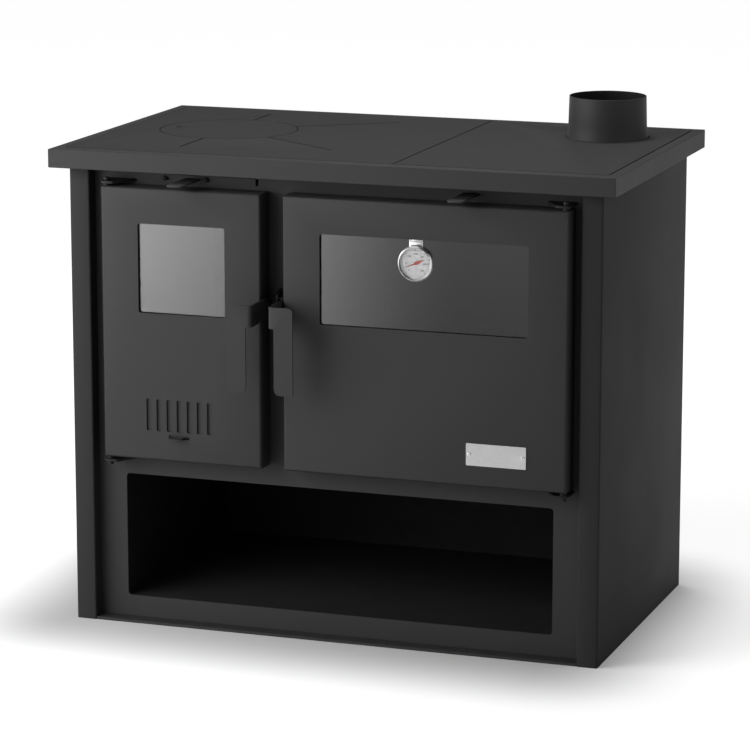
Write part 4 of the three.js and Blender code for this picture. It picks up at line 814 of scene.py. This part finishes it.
def rack_recipe():
    metres = "NodeSocketFloat"
    tree, given, result = recipe("wire_rack", [
        ("Width", metres, 0.4), ("Depth", metres, 0.35), ("Rod radius", metres, 0.003),
        ("Wire radius", metres, 0.002), ("Wires", "NodeSocketInt", 13),
        ("Centre", "NodeSocketVector", (0, 0, 0))])
    box = put(tree, "GeometryNodeCurvePrimitiveQuadrilateral", {
        "Width": given["Width"], "Height": given["Depth"]})
    bent = put(tree, "GeometryNodeFilletCurve", {
        "Curve": box.outputs[0], "Radius": RACK_CORNER, "Count": 8}, mode="POLY")
    thick = put(tree, "GeometryNodeCurvePrimitiveCircle", {
        "Resolution": 16, "Radius": given["Rod radius"]})
    outer = put(tree, "GeometryNodeCurveToMesh", {
        "Curve": bent.outputs[0], "Profile Curve": thick.outputs[0]})
    pitch = math_node(tree, "DIVIDE", given["Width"], math_node(
        tree, "ADD", given["Wires"], 1.0))
    first = math_node(tree, "SUBTRACT", pitch, math_node(
        tree, "MULTIPLY", given["Width"], 0.5))
    row = put(tree, "GeometryNodeMeshLine", {
        "Count": given["Wires"],
        "Start Location": put(tree, "ShaderNodeCombineXYZ", {"X": first}).outputs[0],
        "Offset": put(tree, "ShaderNodeCombineXYZ", {"X": pitch}).outputs[0]})
    half = math_node(tree, "MULTIPLY", given["Depth"], 0.5)
    front = put(tree, "ShaderNodeCombineXYZ", {"Y": math_node(tree, "MULTIPLY", half, -1.0)})
    back = put(tree, "ShaderNodeCombineXYZ", {"Y": half})
    line = put(tree, "GeometryNodeCurvePrimitiveLine", {
        "Start": front.outputs[0], "End": back.outputs[0]})
    copies = put(tree, "GeometryNodeInstanceOnPoints", {
        "Points": row.outputs[0], "Instance": line.outputs[0]})
    real = put(tree, "GeometryNodeRealizeInstances", {"Geometry": copies.outputs[0]})
    thin = put(tree, "GeometryNodeCurvePrimitiveCircle", {
        "Resolution": 12, "Radius": given["Wire radius"]})
    inner = put(tree, "GeometryNodeCurveToMesh", {
        "Curve": real.outputs[0], "Profile Curve": thin.outputs[0], "Fill Caps": True})
    left, right = (put(tree, "ShaderNodeCombineXYZ", {"X": math_node(
        tree, "MULTIPLY", given["Width"], share)}).outputs[0] for share in (-0.5, 0.5))
    cross = put(tree, "GeometryNodeCurvePrimitiveLine", {"Start": left, "End": right})
    brace = put(tree, "GeometryNodeCurveToMesh", {
        "Curve": cross.outputs[0], "Profile Curve": thin.outputs[0], "Fill Caps": True})
    whole = put(tree, "GeometryNodeJoinGeometry")
    for part in (outer, inner, brace):
        tree.links.new(part.outputs[0], whole.inputs[0])
    seated = put(tree, "GeometryNodeTransform", {
        "Geometry": whole.outputs[0], "Translation": given["Centre"]})
    close_recipe(tree, seated.outputs[0], bright_steel, result)
    return tree


def oven_rack():
    low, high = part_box("oven_rack")
    rod = (high.z - low.z) / 2
    piece = grown("oven_rack_wires", rack_recipe(), {
        "Width": high.x - low.x - 2 * rod, "Depth": high.y - low.y - 2 * rod,
        "Rod radius": rod, "Centre": (low + high) / 2})
    placed(piece, "oven_rack", None)


oven_rack()

# %% [markdown]
# ## The thermometer
# A bimetal thermometer hangs by a hook from the top of the oven window. Its case is a
# shallow steel cup with a bright rolled rim. Behind a thin lens lies a brushed dial with a
# ring of marks, plain numbers and a red needle.

# %% Thermometer case and lens
case_low, case_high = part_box("thermometer_case")
lens_low, lens_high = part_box("thermometer_lens")
dial_low, dial_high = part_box("thermometer_dial")
DIAL_RADIUS = (case_high.x - case_low.x) / 2
DIAL_CENTRE = Vector(((case_low.x + case_high.x) / 2, case_high.y, case_low.z + DIAL_RADIUS))
OUTWARDS = (0, -1, 0)


def thermometer_case():
    radius = DIAL_RADIUS
    depth = case_high.y - case_low.y
    corner = 2.0 * MM
    slope = 2.8 * MM
    step = 0.3 * MM
    roll = 0.35 * MM
    sheet = 1.0 * MM
    profile = [(0, 0), (radius - corner, 0)]
    profile += arc(radius - corner, corner, corner, -80, 0, 5)
    profile += [(radius, depth - slope), (radius - step, depth - slope + 0.5 * MM)]
    profile += arc(radius - slope, depth - roll, roll, 45, 180, 6)
    profile += [(radius - slope - roll, depth - slope + roll)]
    profile += [(radius - sheet, depth - slope - sheet), (radius - sheet, sheet), (0, sheet)]
    cup = spun("thermometer_cup", profile, DIAL_SIDES, DIAL_CENTRE, OUTWARDS)
    placed(cup, "thermometer_case", rim_steel)
    # The cup's inner wall gets the near-black ink: painted shade down the wall round the dial.
    cup.data.materials.append(ink_and_painted_shade)
    for face in cup.data.polygons:
        out = face.center - DIAL_CENTRE
        out.y = 0
        if out.length > radius / 2 and face.normal.dot(out.normalized()) < -0.3:
            face.material_index = 1


def thermometer_hook():
    """The solid's own strip, which rises behind the rim and folds over the window's edge."""
    cut_height = DIAL_CENTRE.z + DIAL_RADIUS * 0.93
    half_width = 12.2 * MM
    solid = frame["nodes"]["thermometer_case"].data.copy()
    strip = bmesh.new()
    strip.from_mesh(solid)
    bmesh.ops.remove_doubles(strip, verts=strip.verts, dist=SAME_POINT)
    bmesh.ops.bisect_plane(strip, geom=strip.verts[:] + strip.edges[:] + strip.faces[:],
                           plane_co=(0, 0, cut_height), plane_no=(0, 0, 1), clear_inner=True)
    gone = [v for v in strip.verts if abs(v.co.x - DIAL_CENTRE.x) > half_width]
    bmesh.ops.delete(strip, geom=gone, context="VERTS")
    bmesh.ops.holes_fill(strip, edges=strip.edges)
    strip.to_mesh(solid)
    strip.free()
    shade(solid)
    hook = new_piece("thermometer_hook", solid)
    hook.data.materials.clear()
    hook.data.materials.append(stainless)
    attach(hook, body_of["thermometer_case"])


def thermometer_lens():
    radius = (lens_high.x - lens_low.x) / 2 - 1.7 * MM
    back = DIAL_CENTRE.y - lens_high.y
    front = DIAL_CENTRE.y - lens_low.y
    rise = 0.9 * MM
    steps = 8
    bulge = [(radius * (1 - k / steps), front + rise * (1 - (1 - k / steps) ** 2))
             for k in range(steps + 1)]
    lens = spun("thermometer_lens_domed", [(0, back), (radius, back), *bulge], DIAL_SIDES,
                DIAL_CENTRE, OUTWARDS)
    placed(lens, "thermometer_lens", lens_glass)


thermometer_case()
thermometer_hook()
thermometer_lens()
print("dial radius in mm:", round(DIAL_RADIUS / MM, 1))

# %% [markdown]
# The marks are one small bar, repeated along an arc. A point's number gives its angle, and
# every fifth bar is longer. The numbers are text, made into meshes and laid on the dial.

# %% Dial marks and numbers
DIAL_START = 225.0
DIAL_SWEEP = 270.0
DIAL_STEPS = 30
MARK_RADIUS = 22.5 * MM
NUMBERS = range(0, 301, 50)
NUMBER_RADIUS = 16.2 * MM
NUMBER_SIZE = 4.4 * MM
INK_THICKNESS = 0.05 * MM


def marks_recipe():
    metres = "NodeSocketFloat"
    tree, given, result = recipe("dial_marks", [
        ("Marks", "NodeSocketInt", DIAL_STEPS + 1), ("Radius", metres, 0.02),
        ("Length", metres, 0.002), ("Width", metres, 0.0003), ("Thickness", metres, 0.0001),
        ("Start", metres, DIAL_START), ("Step", metres, DIAL_SWEEP / DIAL_STEPS),
        ("Centre", "NodeSocketVector", (0, 0, 0))])
    index = put(tree, "GeometryNodeInputIndex").outputs[0]
    degrees = math_node(tree, "SUBTRACT", given["Start"], math_node(
        tree, "MULTIPLY", index, given["Step"]))
    angle = math_node(tree, "RADIANS", degrees)
    ring = put(tree, "ShaderNodeCombineXYZ", {
        "X": math_node(tree, "MULTIPLY", math_node(tree, "COSINE", angle), given["Radius"]),
        "Z": math_node(tree, "MULTIPLY", math_node(tree, "SINE", angle), given["Radius"])})
    points = put(tree, "GeometryNodePoints", {"Count": given["Marks"],
                                              "Position": ring.outputs[0]})
    bar = put(tree, "GeometryNodeMeshCube", {"Size": put(tree, "ShaderNodeCombineXYZ", {
        "X": given["Length"], "Y": given["Thickness"], "Z": given["Width"]}).outputs[0]})
    longer = 0.6
    wider = 0.7
    fifth = math_node(tree, "LESS_THAN", math_node(tree, "MODULO", index, 5.0), 0.5)
    scale = put(tree, "ShaderNodeCombineXYZ", {
        "X": math_node(tree, "MULTIPLY_ADD", fifth, longer, 1.0), "Y": 1.0,
        "Z": math_node(tree, "MULTIPLY_ADD", fifth, wider, 1.0)})
    turned = put(tree, "ShaderNodeCombineXYZ", {"Y": math_node(tree, "MULTIPLY", angle, -1.0)})
    copies = put(tree, "GeometryNodeInstanceOnPoints", {
        "Points": points.outputs[0], "Instance": bar.outputs[0],
        "Rotation": turned.outputs[0], "Scale": scale.outputs[0]})
    seated = put(tree, "GeometryNodeTransform", {
        "Geometry": copies.outputs[0], "Translation": given["Centre"]})
    close_recipe(tree, seated.outputs[0], ink_and_painted_shade, result, smooth=False)
    return tree


def dial_face():
    radius = (dial_high.x - dial_low.x) / 2
    front = DIAL_CENTRE.y - dial_low.y
    back = DIAL_CENTRE.y - dial_high.y
    edge = 0.2 * MM
    profile = [(0, back), (radius, back), (radius, front - edge), (radius - edge, front),
               (0, front)]
    face = spun("thermometer_dial_face", profile, DIAL_SIDES, DIAL_CENTRE, OUTWARDS)
    placed(face, "thermometer_dial", dial_silver)


def dial_print():
    ink_y = dial_low.y - 0.06 * MM
    marks = grown("dial_marks", marks_recipe(), {
        "Radius": MARK_RADIUS, "Length": 2.2 * MM, "Width": 0.45 * MM,
        "Centre": (DIAL_CENTRE.x, ink_y, DIAL_CENTRE.z)})
    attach(marks, "oven_door")
    for k, value in enumerate(NUMBERS):
        angle = math.radians(DIAL_START - DIAL_SWEEP * k / (len(NUMBERS) - 1))
        text = bpy.data.curves.new(f"dial_number_{value}", "FONT")
        text.body = str(value)
        text.size = NUMBER_SIZE
        text.align_x = "CENTER"
        text.align_y = "CENTER"
        text.extrude = INK_THICKNESS
        letter = bpy.data.objects.new(text.name, text)
        bpy.context.scene.collection.objects.link(letter)
        ready = letter.evaluated_get(bpy.context.evaluated_depsgraph_get())
        mesh = bpy.data.meshes.new_from_object(ready)
        bpy.data.objects.remove(letter)
        place = Vector((DIAL_CENTRE.x + NUMBER_RADIUS * math.cos(angle), ink_y,
                        DIAL_CENTRE.z + NUMBER_RADIUS * math.sin(angle)))
        mesh.transform(Matrix.Translation(place) @ Matrix.Rotation(math.pi / 2, 4, "X"))
        number = new_piece(f"dial_number_{value}", mesh)
        number.data.materials.clear()
        number.data.materials.append(ink_and_painted_shade)
        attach(number, "oven_door")


dial_face()
dial_print()
rounded("thermometer_needle", 0.08, needle_red)
print("dial numbers:", *NUMBERS)

# %% [markdown]
# ## Screws and rivets
# The screws are one domed head, copied along a row. The dome is half a sphere: all points
# below its middle are lifted to the seat, which closes it with a flat face. The plate's two
# rivets are hollow ones, and those are turned like the collar.

# %% Screws and rivets
STEM_SHARE = 0.45


def heads_recipe():
    metres = "NodeSocketFloat"
    tree, given, result = recipe("domed_heads", [
        ("Count", "NodeSocketInt", 2), ("Spacing", metres, 0.1), ("Radius", metres, 0.003),
        ("Height", metres, 0.001), ("Stem", metres, 0.002),
        ("First", "NodeSocketVector", (0, 0, 0)),
        ("Material", "NodeSocketMaterial", None)])
    ball = put(tree, "GeometryNodeMeshUVSphere", {"Segments": 24, "Rings": 16, "Radius": 1.0})
    place = put(tree, "ShaderNodeSeparateXYZ", {
        "Vector": put(tree, "GeometryNodeInputPosition").outputs[0]})
    high = math_node(tree, "MULTIPLY", math_node(tree, "MAXIMUM", place.outputs["Z"], 0.0),
                     given["Height"])
    dome = put(tree, "GeometryNodeSetPosition", {
        "Geometry": ball.outputs[0], "Position": put(tree, "ShaderNodeCombineXYZ", {
            "X": math_node(tree, "MULTIPLY", place.outputs["X"], given["Radius"]),
            "Y": math_node(tree, "MULTIPLY", place.outputs["Y"], given["Radius"]),
            "Z": high}).outputs[0]})
    stem = put(tree, "GeometryNodeMeshCylinder", {
        "Vertices": 16, "Radius": math_node(tree, "MULTIPLY", given["Radius"], STEM_SHARE),
        "Depth": given["Stem"]})
    sunk = put(tree, "GeometryNodeTransform", {
        "Geometry": stem.outputs["Mesh"], "Translation": put(tree, "ShaderNodeCombineXYZ", {
            "Z": math_node(tree, "MULTIPLY", given["Stem"], -0.5)}).outputs[0]})
    one = put(tree, "GeometryNodeJoinGeometry")
    tree.links.new(dome.outputs[0], one.inputs[0])
    tree.links.new(sunk.outputs[0], one.inputs[0])
    facing = put(tree, "GeometryNodeTransform", {
        "Geometry": one.outputs[0], "Rotation": (math.pi / 2, 0, 0)})
    row = put(tree, "GeometryNodeMeshLine", {
        "Count": given["Count"], "Start Location": given["First"],
        "Offset": put(tree, "ShaderNodeCombineXYZ", {"X": given["Spacing"]}).outputs[0]})
    copies = put(tree, "GeometryNodeInstanceOnPoints", {
        "Points": row.outputs[0], "Instance": facing.outputs[0]})
    close_recipe(tree, copies.outputs[0], given["Material"], result)
    return tree


def head_row(name, tree, left, right, radius, height, material):
    low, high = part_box(left)
    other_low, other_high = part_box(right)
    seat = low.y + height
    first = Vector(((low.x + high.x) / 2, seat, (low.z + high.z) / 2))
    piece = grown(name, tree, {
        "Spacing": (other_low.x + other_high.x) / 2 - first.x, "Radius": radius,
        "Height": height, "Stem": high.y - seat, "First": first, "Material": material})
    placed(piece, left, None, right)


def hollow_rivet(node):
    """A hollow rivet's rolled head round its hole, with painted shade on the hole's wall and
    floor.
    """
    low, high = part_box(node)
    centre = Vector(((low.x + high.x) / 2, high.y, (low.z + high.z) / 2))
    depth = high.y - low.y
    radius = (high.x - low.x) / 2 + 0.4 * MM
    hole = 0.9 * MM
    head = 1.2 * MM
    stem = radius * 0.5
    under = depth - head - 0.2 * MM
    outer = 0.7 * MM
    inner = 0.4 * MM
    profile = [(0, 0), (stem, 0), (stem, under), (radius, under)]
    profile += arc(radius - outer, depth - 0.8 * MM, outer, -10, 80, 5)
    profile += arc(hole + inner, depth - inner, inner, 100, 180, 4)
    profile += [(hole, depth - head), (0, depth - head)]
    piece = spun(f"{node}_turned", profile, RIVET_SIDES, centre, OUTWARDS)
    placed(piece, node, rim_steel)
    # The hole's wall and floor are painted near-black: painted shade in the hollow.
    piece.data.materials.append(ink_and_painted_shade)
    for face in piece.data.polygons:
        out = face.center - centre
        if (out.x ** 2 + out.z ** 2) ** 0.5 < hole * 1.02 and out.y < -depth / 3:
            face.material_index = 1


hollow_rivet("plate_rivet_left")
hollow_rivet("plate_rivet_right")
heads_tree = heads_recipe()
head_row("air_slide_screws", heads_tree, "air_slide_screw_left", "air_slide_screw_right",
         radius=4.5 * MM, height=2.5 * MM, material=blackened_steel)
